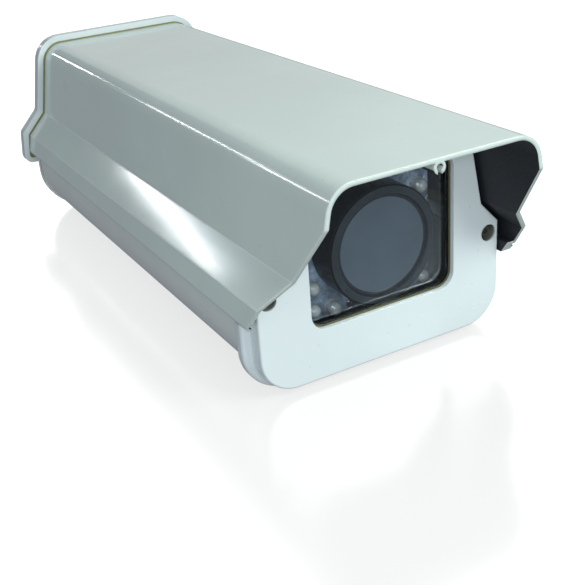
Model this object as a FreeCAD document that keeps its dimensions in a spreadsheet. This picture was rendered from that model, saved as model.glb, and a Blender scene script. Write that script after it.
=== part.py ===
import FreeCAD, Part
import math
import os
import Sketcher

# Side-opening housing for a fixed security camera, in millimetres.
# The origin is the centre of the four base holes, on the face that sits on the bracket.
# +Z is up, -Y is the way the window looks, and +X is the side that opens.

SIZES = {
    # The extruded cover, seen from the front.
    "cover_height": (111.0, "top face of the cover above the base"),
    "cover_top_half": (51.1, "half width of the cover where top and sides would meet"),
    "cover_corner": (13.0, "outer radius of the two top corners"),
    "crease_half": (59.7, "half width where the sides turn out into the flare"),
    "crease_height": (67.0, "height of that crease"),
    "flare_half": (72.0, "half width at the foot of the flare"),
    "flare_height": (54.0, "height of the foot of the flare"),
    "cover_wall": (2.0, "wall of the cover"),
    "visor_reach": (41.0, "how far the cover stands ahead of the window cap"),
    "visor_drop": (17.0, "upright part of the visor's side edge, from the top down"),
    "visor_lean": (0.705, "slope of the rest of that edge, back per unit down"),
    "port_drop": (2.1, "centre of the top screw port below the underside of the roof"),
    "port_wall": (1.4, "wall of the screw ports"),
    "port_mouth": (2.0, "open slot along each screw port"),
    "embed": (1.0, "how far joined shapes run into each other"),
    "cut_over": (5.0, "how far the visor's cut runs past the cover"),
    # The hinge along the left side.
    "hinge_half": (71.2, "hinge line from the middle"),
    "hinge_height": (43.7, "hinge line above the base"),
    "bead_radius": (1.6, "round edge on the tray that the cover turns on"),
    "hinge_play": (0.08, "radial play between bead and channel"),
    "channel_wall": (1.2, "wall of the channel that wraps the bead"),
    "lip_angle": (70.0, "lower lip of the channel, down from level"),
    "neck_angle": (65.0, "way the bead's neck leaves it, up from level"),
    "neck_thick": (1.0, "thickness of that neck"),
    "arm_rise": (4.7, "level arm above the hinge line"),
    "bead_setback": (22.0, "bead cut short at each end of the tray"),
    # The closing rail along the right side.
    "rail_inner": (65.2, "inner face of the rail on the cover"),
    "rail_outer": (73.2, "outer face of that rail"),
    "rail_height": (5.9, "height of that rail"),
    "rail_gap": (0.3, "rail above the tray's flange when shut"),
    "rail_chamfer": (1.0, "chamfer along the rail's lower edge"),
    "rail_clear": (0.7, "trimmed rail beside the window cap"),
    "rail_past_cap": (3.0, "that trim runs past the window cap"),
    "rail_hole_deep": (14.0, "hole for the rear cap's screw in the rail"),
    "groove_deep": (1.6, "depth of the finger groove in the rail"),
    "groove_high": (1.6, "height of the finger groove"),
    "lock_half": (68.9, "closing screws from the middle"),
    "lock_spacing": (190.0, "distance between the closing screws"),
    "lock_radius": (2.0, "shank radius of the closing screws"),
    "lock_play": (0.25, "radial room round that shank in the rail"),
    "lock_head_radius": (4.2, "knurled head of a closing screw"),
    "lock_head_high": (8.0, "height of that head"),
    "lock_reach": (5.3, "shank of a closing screw above the flange"),
    "lock_over": (0.5, "holes of the closing screws run past the rail"),
    "lock_neck": (1.8, "neck of a closing screw under the flange"),
    "lock_chamfer": (0.8, "chamfers of a closing screw"),
    "lock_seat": (0.1, "head of a closing screw below the flange"),
    "flute_radius": (0.55, "flutes of that head"),
    "flute_out": (0.2, "middle of the flutes outside the head"),
    # The extruded tray.
    "tray_length": (292.0, "length of the tray"),
    "tray_half": (70.0, "half width of the tray's left side below the hinge"),
    "tray_bottom": (3.0, "underside of the tray beside the base land"),
    "tray_corner": (28.0, "outer radius of the tray's lower left corner"),
    "tray_wall": (2.3, "wall of the tray"),
    "upper_half": (64.0, "outer face of the tray's side walls inside the cover"),
    "wall_top": (53.2, "top edge of the tray's side walls"),
    "shoulder_height": (38.0, "top of the tray's shoulder and closing flange"),
    "flange_half": (73.0, "outer edge of the closing flange"),
    "flange_thick": (2.6, "thickness of the closing flange"),
    "flange_chamfer": (1.5, "chamfer along the flange's lower edge"),
    "land_half": (30.0, "half width of the base land"),
    "land_thick": (7.0, "thickness of the base land"),
    "land_slope": (2.0, "slope from the land down to the tray's floor"),
    "end_port_half": (60.3, "upper end screws from the middle"),
    "end_port_height": (49.4, "upper end screws above the base"),
    "low_port_half": (54.0, "lower end screws from the middle"),
    "low_port_height": (11.6, "lower end screws above the base"),
    "end_screw_radius": (2.0, "shank radius of the end screws"),
    "end_screw_long": (16.0, "length of the end screws"),
    "end_head_radius": (3.6, "head radius of the end screws"),
    "end_head_high": (2.6, "height of that head"),
    "end_drive": (2.5, "hexagon drive of the end screws"),
    "screw_play": (0.05, "radial room of a screw in its port"),
    "face_to_mount": (140.0, "front face of the window cap ahead of the base pattern"),
    "trim_grip": (1.2, "rubber trim inside the tray's walls"),
    "trim_foot": (1.5, "upright foot of the trim"),
    "trim_high": (4.6, "height of the trim above the walls"),
    "trim_bulge": (4.0, "trim's top leans in past the walls"),
    "trim_round": (1.6, "radius of the trim's top"),
    # The base pattern, for M6 screws.
    "base_pitch_x": (36.0, "base holes across"),
    "base_pitch_y": (70.0, "base holes along"),
    "base_hole_radius": (2.5, "tapping hole for an M6 thread"),
    "base_hole_deep": (5.8, "depth of the base holes"),
    # The window cap and what it holds.
    "cap_depth": (13.0, "depth of the window cap"),
    "cap_half": (66.2, "half width of the window cap's face"),
    "cap_bottom": (2.5, "lower edge of the face above the base"),
    "cap_corner": (18.5, "radius of the face's lower corners"),
    "cap_inset": (3.9, "cap inside the cover's outer face"),
    "cap_below_cover": (7.8, "cap's top edge below the cover's top face"),
    "cap_top_corner": (12.0, "radius of the cap's top corners"),
    "cap_wall": (3.2, "side wall of the window cap"),
    "face_wall": (2.5, "front wall of the window cap"),
    "face_round": (1.0, "radius round the cap's face"),
    "hollow_lift": (2.0, "extra thickness of the cap's bottom wall"),
    "foot_half": (70.8, "half width of the flange at the cap's back"),
    "foot_corner": (23.0, "radius of that flange's lower corners"),
    "foot_depth": (5.0, "depth of that flange"),
    "foot_round": (2.0, "radius along that flange's front edge"),
    "tongue_depth": (4.0, "blade of the cap over the tray's land"),
    "tongue_half": (26.0, "half width of that blade"),
    "tongue_thick": (2.2, "thickness of that blade"),
    "gasket_corner_less": (4.0, "inner corners of those gaskets tighter than the tray's"),
    "gasket_wide": (9.0, "width of the gaskets on the tray's ends"),
    "fit_gap": (0.25, "slip clearance between seated pieces"),
    "window_beside": (20.3, "window's side edge inside the cover's crease"),
    "window_low": (27.7, "lower edge of the window"),
    "window_brow": (8.2, "cap above the window"),
    "window_corner": (8.0, "corner radius of the window"),
    "glass_lap": (3.5, "glass behind the window's edge"),
    "glass_thick": (2.5, "thickness of the glass"),
    "glass_seal": (0.6, "thickness of the gasket before the glass"),
    "seal_show": (0.8, "glass gasket seen inside the window's edge"),
    "retainer_rise": (13.3, "lower retainer screws above the window's lower edge"),
    "retainer_drop": (17.0, "upper retainer screws below the window's upper edge"),
    "retainer_thick": (1.0, "sheet that holds the glass"),
    "ear_radius": (3.0, "ears of that sheet and their bosses"),
    "ear_beside": (3.4, "retainer screws beside the glass"),
    "tap_floor": (1.0, "metal before the retainer's screw holes"),
    "small_screw_radius": (1.2, "screws of the retainer and of the lamp board"),
    "small_screw_long": (4.5, "length of those screws"),
    "small_head_radius": (2.2, "head radius of those screws"),
    "small_head_high": (1.4, "height of that head"),
    "small_drive": (1.3, "hexagon drive of those screws"),
    "recess_radius": (4.2, "recess round a cap screw's head"),
    "recess_deep": (5.0, "depth of that recess"),
    "boss_wall": (1.4, "wall of the bosses round the recesses"),
    "gasket_thick": (1.2, "flat gaskets between extrusions and end pieces"),
    # The rear ends.
    "plate_bottom": (0.5, "lower edge of the rear plate above the base"),
    "plate_thick": (5.0, "rear plate of the tray"),
    "plate_recess": (2.8, "depth of the recesses for the rear plate's screw heads"),
    "plate_wider": (0.4, "upper part of the plate wider than the tray's walls"),
    "plate_overlap": (12.0, "upper and lower parts of the plate overlap"),
    "plate_soft": (2.0, "lower corners of the upper part"),
    "plate_to_cover": (0.4, "cover runs past the rear plate"),
    "rim_proud": (4.4, "rear cap of the cover stands proud all round"),
    "rim_low": (35.5, "lower edge of that cap"),
    "rim_depth": (9.0, "depth of that cap"),
    "rim_wall": (2.6, "wall of that cap"),
    "rim_screw_radius": (1.5, "shank radius of that cap's screws"),
    "rim_screw_long": (19.0, "length of those screws"),
    "rim_head_radius": (2.8, "head radius of those screws"),
    "rim_head_high": (2.0, "height of that head"),
    "rim_drive": (2.0, "hexagon drive of those screws"),
    "rim_soft": (4.0, "radius at the bends of that cap's outline"),
    "rim_foot_round": (1.0, "lower corners of the cover's rear gasket"),
    "rim_open_corner": (6.0, "lower corners of that cap's hollow"),
    "rim_open_inset": (6.0, "hollow inside the cap's proud edge"),
    "rim_open_drop": (1.0, "hollow below the window cap's top"),
    "seam_proud": (0.7, "rear gasket of the cover stands proud"),
    # Cable glands.
    "gland_half": (25.0, "cable glands from the middle"),
    "gland_height": (22.5, "cable glands above the base"),
    "gland_radius": (7.6, "thread radius of a gland"),
    "gland_bore": (5.2, "bore of a gland"),
    "gland_flats": (19.0, "spanner size of a gland"),
    "gland_nut": (4.0, "thickness of a gland's inner nut"),
    "gland_collar": (5.0, "thickness of a gland's hexagon"),
    "gland_throat": (7.0, "threaded throat under a gland's cap"),
    "gland_stub": (2.0, "thread that shows past the inner nut"),
    "seal_set_in": (1.0, "shoulder of the seal's nose inside the thread"),
    "seal_slope": (1.2, "rise of that shoulder"),
    "seal_nose": (3.5, "nose of the seal past the throat"),
    "seal_lip": (0.9, "wall of the nose at its end"),
    "seal_gap": (0.1, "room between seal and cap"),
    "dome_wall": (2.2, "gland cap outside the thread"),
    "dome_gap": (0.4, "gland cap clear of the hexagon"),
    "dome_chamfer": (0.8, "chamfer of the gland cap's foot"),
    "dome_brow": (3.4, "flat front of the gland cap round the cable"),
    "dome_high": (5.2, "gland cap past the throat"),
    "dome_round": (2.5, "radius of the gland cap's front"),
    "cable_radius": (3.5, "hole in a gland's seal"),
    # The sled and the camera on it.
    "sled_half": (38.0, "half width of the sled"),
    "sled_thick": (2.0, "thickness of the sled"),
    "sled_length": (170.0, "length of the sled"),
    "sled_start": (20.0, "front end of the sled behind the cap's face"),
    "sled_lift": (0.4, "underside of the sled above the land"),
    "sled_corner": (6.0, "corner radius of the sled"),
    "slot_x": (31.0, "slots of the sled from the middle"),
    "slot_half": (3.2, "half width of those slots"),
    "slot_from_front": (51.0, "slots behind the sled's front end"),
    "slot_from_back": (47.6, "slots before the sled's rear end"),
    "sled_screw_half": (28.0, "clamping screws of the sled from the middle"),
    "sled_screw_radius": (1.5, "shank radius of those screws"),
    "sled_lock_front": (24.0, "front clamping screws behind the sled's front end"),
    "sled_lock_rear": (10.0, "rear clamping screws before the sled's rear end"),
    "knob_radius": (4.2, "knob of a clamping screw"),
    "knob_high": (5.6, "height of that knob"),
    "knob_chamfer": (0.6, "chamfers of that knob"),
    "sled_play": (0.3, "sled in its rails, all round"),
    "rail_web": (2.0, "wall of the sled's rails"),
    "rail_sole": (4.0, "rail under the sled's edge"),
    "rail_lip": (3.0, "lip over the sled's edge"),
    "lens_x": (5.0, "lens off the middle"),
    "lens_height": (55.5, "lens above the base"),
    "hood_front": (6.8, "front of the lens hood behind the cap's face"),
    "hood_radius": (29.2, "outside of the lens hood"),
    "hood_length": (17.5, "length of the lens hood"),
    "hood_wall": (4.7, "wall of the lens hood at its front"),
    "hood_chamfer": (0.8, "outer chamfers of the hood"),
    "hood_bevel": (0.5, "chamfer inside the hood's mouth"),
    "ledge_wide": (2.0, "ledge behind the lens glass"),
    "ledge_thick": (1.0, "thickness of that ledge"),
    "lens_glass_thick": (2.0, "thickness of the lens glass"),
    "barrel_radius": (25.0, "lens barrel"),
    "barrel_length": (50.0, "length of the barrel behind the hood"),
    "barrel_wall": (3.0, "wall of the barrel at its ends"),
    "barrel_thick": (7.0, "wall of the barrel between"),
    "barrel_mouth": (4.0, "depth of the barrel's front mouth"),
    "barrel_taper": (8.0, "taper of the barrel's rear end"),
    "collar_inset": (3.9, "rear recess of the barrel inside its outside"),
    "collar_play": (0.1, "room round the camera's collar in that recess"),
    "collar_deep": (3.0, "depth of that recess"),
    "glass_recess": (1.5, "lens glass behind the hood's front"),
    "focus_start": (16.0, "focus ring behind the hood"),
    "focus_thick": (2.2, "focus ring over the barrel"),
    "focus_length": (14.0, "length of the focus ring"),
    "ring_chamfer": (0.6, "chamfers of the focus ring"),
    "grip_radius": (1.1, "grips of the focus ring"),
    "grip_out": (0.5, "middle of the grips outside the ring"),
    "grip_margin": (3.0, "plain ends of the focus ring"),
    "ring_play": (0.06, "radial play of the focus ring"),
    "camera_half": (29.0, "half width of the camera body"),
    "camera_high": (56.0, "height of the camera body"),
    "camera_length": (88.0, "length of the camera body"),
    "camera_round": (4.0, "corner radius of the camera body"),
    "socket_x": (14.0, "video socket beside the lens axis"),
    "socket_rise": (8.0, "video socket above the lens axis"),
    "socket_bore": (2.2, "bore of the video socket"),
    "socket_radius": (4.8, "outside of the video socket"),
    "socket_long": (12.0, "length of the video socket"),
    "socket_chamfer": (1.0, "chamfer of the video socket"),
    "socket_flange": (6.5, "flange radius of the video socket"),
    "socket_flange_thick": (2.0, "thickness of that flange"),
    "supply_x": (10.0, "supply terminal beside the lens axis"),
    "supply_drop": (12.0, "supply terminal below the lens axis"),
    "supply_half": (8.0, "half width of the supply terminal"),
    "supply_high": (10.0, "height of the supply terminal"),
    "supply_deep": (8.0, "depth of the supply terminal"),
    "supply_way": (3.8, "its two wire holes from its middle"),
    "supply_way_deep": (6.0, "depth of those holes"),
    "way_radius": (1.9, "wire and screw holes of the terminals"),
    "riser_half": (13.0, "half width of the block under the camera"),
    "riser_long": (46.0, "length of that block"),
    "riser_back": (16.0, "front of that block behind the camera's front"),
    "riser_foot": (8.0, "feet on each side of that block"),
    "riser_foot_thick": (2.0, "thickness of those feet"),
    "riser_screw_radius": (1.5, "screws through those feet into the sled"),
    "riser_head_radius": (2.8, "head radius of those screws"),
    "riser_head_high": (2.0, "height of that head"),
    "board_half": (38.0, "half width of the lamp board"),
    "board_high_half": (37.0, "half height of the lamp board"),
    "board_thick": (1.6, "thickness of circuit boards"),
    "board_corner": (5.0, "corner radius of the lamp board"),
    "board_round_lens": (0.6, "lamp board clear of the lens barrel"),
    "board_gap": (0.3, "lamp board behind the lens hood"),
    "board_margin": (4.0, "screws of the boards from their edges"),
    "board_screw_x": (9.0, "screws of the lamp board from its middle"),
    "bracket_thick": (1.5, "sheet of the bracket behind the lamp board"),
    "bracket_wide": (28.0, "width of that bracket"),
    "bracket_deep": (14.0, "foot of that bracket along the sled"),
    "bracket_under": (1.2, "bracket below the lens barrel"),
    "lamp_radius": (3.4, "radius of an infrared lamp"),
    "lamp_length": (7.0, "length of an infrared lamp"),
    "lamp_flange": (0.3, "flange at a lamp's foot"),
    "lamp_flange_thick": (1.0, "thickness of that flange"),
    "lamp_side_x": (31.0, "side lamps across from the lens"),
    "lamp_side_z": (18.0, "side lamps above and below the lens"),
    "lamp_corner_x": (31.5, "corner lamps across from the lens"),
    "lamp_corner_z": (29.5, "corner lamps above and below the lens"),
    "lamp_end_x": (20.0, "end lamps across from the lens"),
    "lamp_end_z": (31.5, "end lamps above and below the lens"),
    "lamp_pair_x": (2.6, "middle of the pair over the lens, off its axis"),
    "lamp_pair_half": (4.1, "each lamp of that pair from its middle"),
    "lamp_pair_z": (33.1, "that pair above the lens"),
    # The terminal board on the tray's floor.
    "terminal_back": (262.0, "middle of the terminal board behind the cap's face"),
    "terminal_half": (26.0, "half width of the terminal board"),
    "terminal_long": (34.0, "length of the terminal board"),
    "standoff_high": (6.0, "height of its standoffs"),
    "standoff_radius": (2.5, "radius of its standoffs"),
    "standoff_floor": (1.0, "metal under the screw hole of a standoff"),
    "terminal_corner": (2.0, "corner radius of the terminal board"),
    "board_screw_radius": (1.2, "screws of the terminal board"),
    "board_screw_long": (5.0, "length of those screws"),
    "board_head_radius": (2.3, "head radius of those screws"),
    "board_head_high": (1.6, "height of that head"),
    "block_deep": (10.0, "depth of the terminal block"),
    "block_high": (11.0, "height of the terminal block"),
    "block_shoulder": (6.0, "upright part of its sides"),
    "block_wide": (36.0, "width of the terminal block"),
    "way_pitch": (6.0, "pitch of its ways"),
    "way_deep": (3.0, "depth of its screw holes"),
    "entry_half": (1.8, "half width of a wire entry"),
    "entry_low": (1.4, "wire entries above the terminal board"),
    "entry_top": (4.6, "upper edge of the wire entries"),
    "entry_deep": (4.0, "depth of the wire entries"),
}

FRONT = "XZ_Plane"
TOP = "XY_Plane"
SIDE = "YZ_Plane"

doc = FreeCAD.newDocument("camera_housing")
sheet = doc.addObject("Spreadsheet::Sheet", "Sizes")
for row, (alias, (number, meaning)) in enumerate(SIZES.items(), start=1):
    sheet.set(f"A{row}", str(number))
    sheet.setAlias(f"A{row}", alias)
    sheet.set(f"B{row}", meaning)
doc.recompute()


class Size:
    """A number together with the expression that works it out from the sheet."""

    def __init__(self, value, text):
        self.value = value
        self.text = text

    def joined(self, sign, other, value):
        """Both expressions with a sign between them, and their value."""
        return Size(value, f"({self.text} {sign} {other.text})")

    def __add__(self, other):
        other = as_size(other)
        return self.joined("+", other, self.value + other.value)

    def __sub__(self, other):
        other = as_size(other)
        return self.joined("-", other, self.value - other.value)

    def __mul__(self, other):
        other = as_size(other)
        return self.joined("*", other, self.value * other.value)

    def __truediv__(self, other):
        other = as_size(other)
        return self.joined("/", other, self.value / other.value)

    def __radd__(self, other):
        return as_size(other) + self

    def __rsub__(self, other):
        return as_size(other) - self

    def __rmul__(self, other):
        return as_size(other) * self

    def __rtruediv__(self, other):
        return as_size(other) / self

    def __neg__(self):
        return Size(-self.value, f"(0 - {self.text})")

    def root(self):
        return Size(math.sqrt(self.value), f"sqrt({self.text})")

    def cosine(self):
        return Size(math.cos(math.radians(self.value)), f"cos({self.text} * 1 deg)")

    def sine(self):
        return Size(math.sin(math.radians(self.value)), f"sin({self.text} * 1 deg)")


def as_size(number):
    """Take a plain number or a Size and give a Size."""
    if isinstance(number, Size):
        return number
    return Size(float(number), f"({float(number)})")


def size(alias):
    """The sheet's value of one alias."""
    return Size(float(sheet.get(alias)), f"Sizes.{alias}")


# Helpers for bodies, sketches and features.

def place(thing, x=0, y=0, z=0):
    """Tie an object's place to the sheet."""
    for axis, distance in zip("xyz", (x, y, z)):
        thing.setExpression(f"Placement.Base.{axis}", as_size(distance).text)


def new_body(label, x=0, y=0, z=0):
    """An empty body with its own label and place."""
    body = doc.addObject("PartDesign::Body", label)
    body.Label = label
    place(body, x, y, z)
    return body


def new_sketch(body, plane, shift=0):
    """A sketch on one of the body's own origin planes, moved along the plane's normal."""
    sketch = body.newObject("Sketcher::SketchObject", f"{body.Name}_sketch")
    support = [item for item in body.Origin.OriginFeatures if item.Role == plane][0]
    sketch.AttachmentSupport = [(support, "")]
    sketch.MapMode = "FlatFace"
    if isinstance(shift, Size) or shift:
        sketch.setExpression("AttachmentOffset.Base.z", as_size(shift).text)
    return sketch


def tie(sketch, kind, *where):
    """Add a constraint whose last entry is its size."""
    distance = as_size(where[-1])
    index = sketch.addConstraint(Sketcher.Constraint(kind, *where[:-1], distance.value))
    sketch.setExpression(f"Constraints[{index}]", distance.text)


def tie_point(sketch, shape, spot, x, y):
    """Hold one point of a sketch at x and y."""
    for kind, axis, distance in (("DistanceX", -2, x), ("DistanceY", -1, y)):
        if not isinstance(distance, Size) and distance == 0:
            sketch.addConstraint(Sketcher.Constraint("PointOnObject", shape, spot, axis))
        else:
            tie(sketch, kind, -1, 1, shape, spot, distance)


def rounding(before, corner, after, radius):
    """Tangent points, centre and turn of an arc that rounds a corner."""
    back = (before - corner).normalize()
    onward = (after - corner).normalize()
    half = back.getAngle(onward) / 2
    reach = radius / math.tan(half)
    centre = corner + (back + onward).normalize() * (radius / math.sin(half))
    turns_left = back.cross(onward).z < 0
    return corner + back * reach, corner + onward * reach, centre, turns_left


def draw_outline(sketch, corners):
    """Draw a closed outline through corners given as (x, y) or (x, y, radius)."""
    points = [FreeCAD.Vector(as_size(c[0]).value, as_size(c[1]).value, 0) for c in corners]
    count = len(points)
    starts = list(points)
    ends = list(points)
    arcs = {}
    for i, corner in enumerate(corners):
        if len(corner) > 2:
            radius = as_size(corner[2]).value
            first, last, centre, left = rounding(points[i - 1], points[i], points[(i + 1) % count], radius)
            ends[i] = first
            starts[i] = last
            arcs[i] = (centre, left, radius)
    lines = [
        sketch.addGeometry(Part.LineSegment(starts[i], ends[(i + 1) % count])) for i in range(count)
    ]
    for i, corner in enumerate(corners):
        into = lines[i - 1]
        out = lines[i]
        if i not in arcs:
            sketch.addConstraint(Sketcher.Constraint("Coincident", into, 2, out, 1))
            tie_point(sketch, out, 1, corner[0], corner[1])
            continue
        centre, left, radius = arcs[i]
        from_point, to_point = (ends[i], starts[i]) if left else (starts[i], ends[i])
        circle = Part.Circle(centre, FreeCAD.Vector(0, 0, 1), radius)
        angles = [math.atan2(p.y - centre.y, p.x - centre.x) for p in (from_point, to_point)]
        arc = sketch.addGeometry(Part.ArcOfCircle(circle, *angles))
        first_end, last_end = (1, 2) if left else (2, 1)
        sketch.addConstraint(Sketcher.Constraint("Tangent", into, 2, arc, first_end))
        sketch.addConstraint(Sketcher.Constraint("Tangent", arc, last_end, out, 1))
        tie(sketch, "Radius", arc, corner[2])
        mark = sketch.addGeometry(Part.Point(points[i]), True)
        tie_point(sketch, mark, 1, corner[0], corner[1])
        sketch.addConstraint(Sketcher.Constraint("PointOnObject", mark, 1, into))
        sketch.addConstraint(Sketcher.Constraint("PointOnObject", mark, 1, out))


def draw_circle(sketch, x, y, radius):
    """Draw a circle at x and y."""
    centre = FreeCAD.Vector(as_size(x).value, as_size(y).value, 0)
    circle = Part.Circle(centre, FreeCAD.Vector(0, 0, 1), as_size(radius).value)
    shape = sketch.addGeometry(circle)
    tie(sketch, "Radius", shape, radius)
    tie_point(sketch, shape, 3, x, y)


def add_feature(body, kind, sketch, name):
    """A feature of the body made from one sketch."""
    feature = body.newObject(f"PartDesign::{kind}", f"{body.Name}_{name}")
    feature.Profile = sketch
    sketch.Visibility = False
    return feature


def pad(body, sketch, length, back=False, both=False):
    """Extrude a sketch along its normal, against it, or half each way."""
    feature = add_feature(body, "Pad", sketch, "pad")
    feature.setExpression("Length", as_size(length).text)
    feature.Reversed = back
    feature.Midplane = both
    return feature


def pocket(body, sketch, length, back=False, both=False):
    """Cut a sketch into the body against its normal, along it, or half each way."""
    feature = add_feature(body, "Pocket", sketch, "pocket")
    feature.setExpression("Length", as_size(length).text)
    feature.Reversed = back
    feature.Midplane = both
    return feature


def revolve(body, sketch):
    """Turn a sketch round its own upright axis."""
    feature = add_feature(body, "Revolution", sketch, "turned")
    feature.ReferenceAxis = (sketch, ["V_Axis"])
    feature.Angle = 360
    return feature


def dress_edges(body, kind, radius, chosen):
    """Fillet or chamfer the edges of the body's tip that a test picks out."""
    doc.recompute()
    tip = body.Tip
    names = [f"Edge{i}" for i, edge in enumerate(tip.Shape.Edges, start=1) if chosen(edge)]
    feature = body.newObject(f"PartDesign::{kind}", f"{body.Name}_{kind.lower()}")
    feature.Base = (tip, names)
    feature.setExpression("Radius" if kind == "Fillet" else "Size", as_size(radius).text)
    return feature


def lies_at(edge, axis, distance):
    """Whether the whole edge lies in one plane across an axis."""
    box = edge.BoundBox
    low = getattr(box, f"{axis}Min")
    high = getattr(box, f"{axis}Max")
    return abs(low - distance.value) < 0.01 and abs(high - distance.value) < 0.01


def copies(label, master, spots):
    """One node of like solids: a placed copy of the master at each spot."""
    group = doc.addObject("Part::Compound", label)
    group.Label = label
    links = []
    for spot in spots:
        link = doc.addObject("App::Link", f"{label}_copy")
        link.LinkedObject = master
        place(link, *spot)
        links.append(link)
    group.Links = links
    return group


# Outlines that several pieces share, seen from the front with X across and Z up.

def offset_line(corners, distance):
    """Move an open line of corners sideways by distance, to its left along its run."""
    normals = []
    for first, last in zip(corners, corners[1:]):
        across = last[0] - first[0]
        rise = last[1] - first[1]
        run = (across * across + rise * rise).root()
        normals.append((-rise / run, across / run))
    moved = []
    for i, corner in enumerate(corners):
        before = normals[max(i - 1, 0)]
        after = normals[min(i, len(normals) - 1)]
        share = distance / (1 + before[0] * after[0] + before[1] * after[1])
        point = (corner[0] + share * (before[0] + after[0]), corner[1] + share * (before[1] + after[1]))
        if len(corner) > 2:
            point += (corner[2] + distance,)
        moved.append(point)
    return moved


def mirrored(corners):
    """The same corners on the other side, in the order that closes an outline."""
    return [(-corner[0],) + tuple(corner[1:]) for corner in reversed(corners)]


def cover_side():
    """Right half of the cover's outer line, from the foot of the flare to the top corner."""
    return [
        (size("flare_half"), size("flare_height")),
        (size("crease_half"), size("crease_height")),
        (size("cover_top_half"), size("cover_height"), size("cover_corner")),
    ]


def cover_line(foot_left, foot_right, outward):
    """The cover's line from its left foot over the roof to its right foot, moved outward."""
    right = cover_side()
    left = mirrored(right)[::-1]
    line = [foot_left] + left + right[::-1] + [foot_right]
    return offset_line(line, outward)


def inside_outline(half, bottom, bottom_corner, inset, top, top_corner):
    """Outline of an end piece that stands inside the cover, inset from its outer face."""
    side = cover_side()
    over = offset_line(side + [(-side[2][0], side[2][1])], as_size(inset))
    crease = over[1]
    flare_slope = (side[1][1] - side[0][1]) / (side[0][0] - side[1][0])
    lean = (side[1][0] - side[2][0]) / (side[2][1] - side[1][1])
    shoulder = (half, crease[1] - (half - crease[0]) * flare_slope)
    right = [
        (half, bottom, bottom_corner),
        shoulder,
        crease,
        (crease[0] - (top - crease[1]) * lean, top, top_corner),
    ]
    return right + mirrored(right)


def box_outline(half, low, high, corner=None):
    """A rectangle about the middle, with rounded corners where a radius is given."""
    ends = ((half, low), (half, high), (-half, high), (-half, low))
    if corner is None:
        return list(ends)
    return [end + (corner,) for end in ends]


def rect(x_low, x_high, y_low, y_high):
    """A plain rectangle."""
    return [(x_low, y_low), (x_high, y_low), (x_high, y_high), (x_low, y_high)]


# Places along the housing, measured from the base pattern.
FACE_Y = -size("face_to_mount")
TRAY_Y = FACE_Y + size("cap_depth") + size("gasket_thick")
TRAY_END = TRAY_Y + size("tray_length")
PLATE_Y = TRAY_END + size("gasket_thick")
COVER_Y = FACE_Y - size("visor_reach")
COVER_END = PLATE_Y + size("plate_thick") + size("plate_to_cover")
RIM_Y = COVER_END + size("gasket_thick")
COVER_LENGTH = COVER_END - COVER_Y

CHANNEL_INNER = size("bead_radius") + size("hinge_play")
CHANNEL_OUTER = CHANNEL_INNER + size("channel_wall")
HINGE_X = -size("hinge_half")
HINGE_Z = size("hinge_height")
PORT_INNER = size("end_screw_radius") + size("screw_play")
PORT_OUTER = PORT_INNER + size("port_wall")
ROOF_PORT_INNER = size("rim_screw_radius") + size("screw_play")
ROOF_PORT_OUTER = ROOF_PORT_INNER + size("port_wall")
ROOF_PORT_Z = size("cover_height") - size("cover_wall") - size("port_drop")
RAIL_LOW = size("shoulder_height") + size("rail_gap")
RAIL_TOP = RAIL_LOW + size("rail_height")
LOCK_YS = (-size("lock_spacing") / 2, size("lock_spacing") / 2)
LENS = (size("lens_x"), size("lens_height"))
CAP_TOP = size("cover_height") - size("cap_below_cover")
WINDOW_TOP = CAP_TOP - size("window_brow")
WINDOW_HALF = size("crease_half") - size("window_beside")
SMALL_TAP = size("small_screw_radius") + size("screw_play")
GLAND_TOP = size("gland_collar") + size("gland_throat")
SLED_Z = size("land_thick") + size("sled_lift")
SLED_TOP = SLED_Z + size("sled_thick")
HOOD_END = size("hood_front") + size("hood_length")
BOARD_Y = FACE_Y + HOOD_END + size("board_gap")
BARREL_END = HOOD_END + size("barrel_length")
CAMERA_END = BARREL_END + size("camera_length")
RISER_Y = FACE_Y + BARREL_END + size("riser_back")

# Shares of a piece's own size, and counts.
HEAD_CROWN = 0.7
TIP_LENGTH = 0.4
TIP_WIDTH = 0.6
DRIVE_DEPTH = 0.6
LAMP_DOME = 0.9
LOCK_FLUTES = 12
FOCUS_GRIPS = 24
TERMINAL_WAYS = 6


def behind(distance):
    """A place behind the window cap's face."""
    return FACE_Y + distance


def top_cover():
    """The extruded cover: roof, sides, flare and skirts, with the visor cut at its front."""
    body = new_body("top_cover", y=COVER_Y)
    foot_left = (HINGE_X - CHANNEL_OUTER, HINGE_Z)
    foot_right = (size("rail_outer"), RAIL_TOP)
    outer = cover_line(foot_left, foot_right, as_size(0))
    inner = cover_line(foot_left, foot_right, -size("cover_wall"))
    # The skirts end in line with the channel's middle and the rail's top.
    inner[0] = (inner[0][0], HINGE_Z)
    inner[-1] = (inner[-1][0], RAIL_TOP)
    shell = new_sketch(body, FRONT)
    draw_outline(shell, outer + inner[::-1])
    pad(body, shell, COVER_LENGTH, back=True)
    closing_rail(body)
    rings = new_sketch(body, FRONT)
    draw_circle(rings, HINGE_X, HINGE_Z, CHANNEL_OUTER)
    draw_circle(rings, 0, ROOF_PORT_Z, ROOF_PORT_OUTER)
    pad(body, rings, COVER_LENGTH, back=True)
    bores = new_sketch(body, FRONT)
    draw_circle(bores, HINGE_X, HINGE_Z, CHANNEL_INNER)
    draw_circle(bores, 0, ROOF_PORT_Z, ROOF_PORT_INNER)
    pocket(body, bores, COVER_LENGTH)
    cover_mouths(body)
    visor(body)
    rail_holes(body)
    return body


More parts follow.
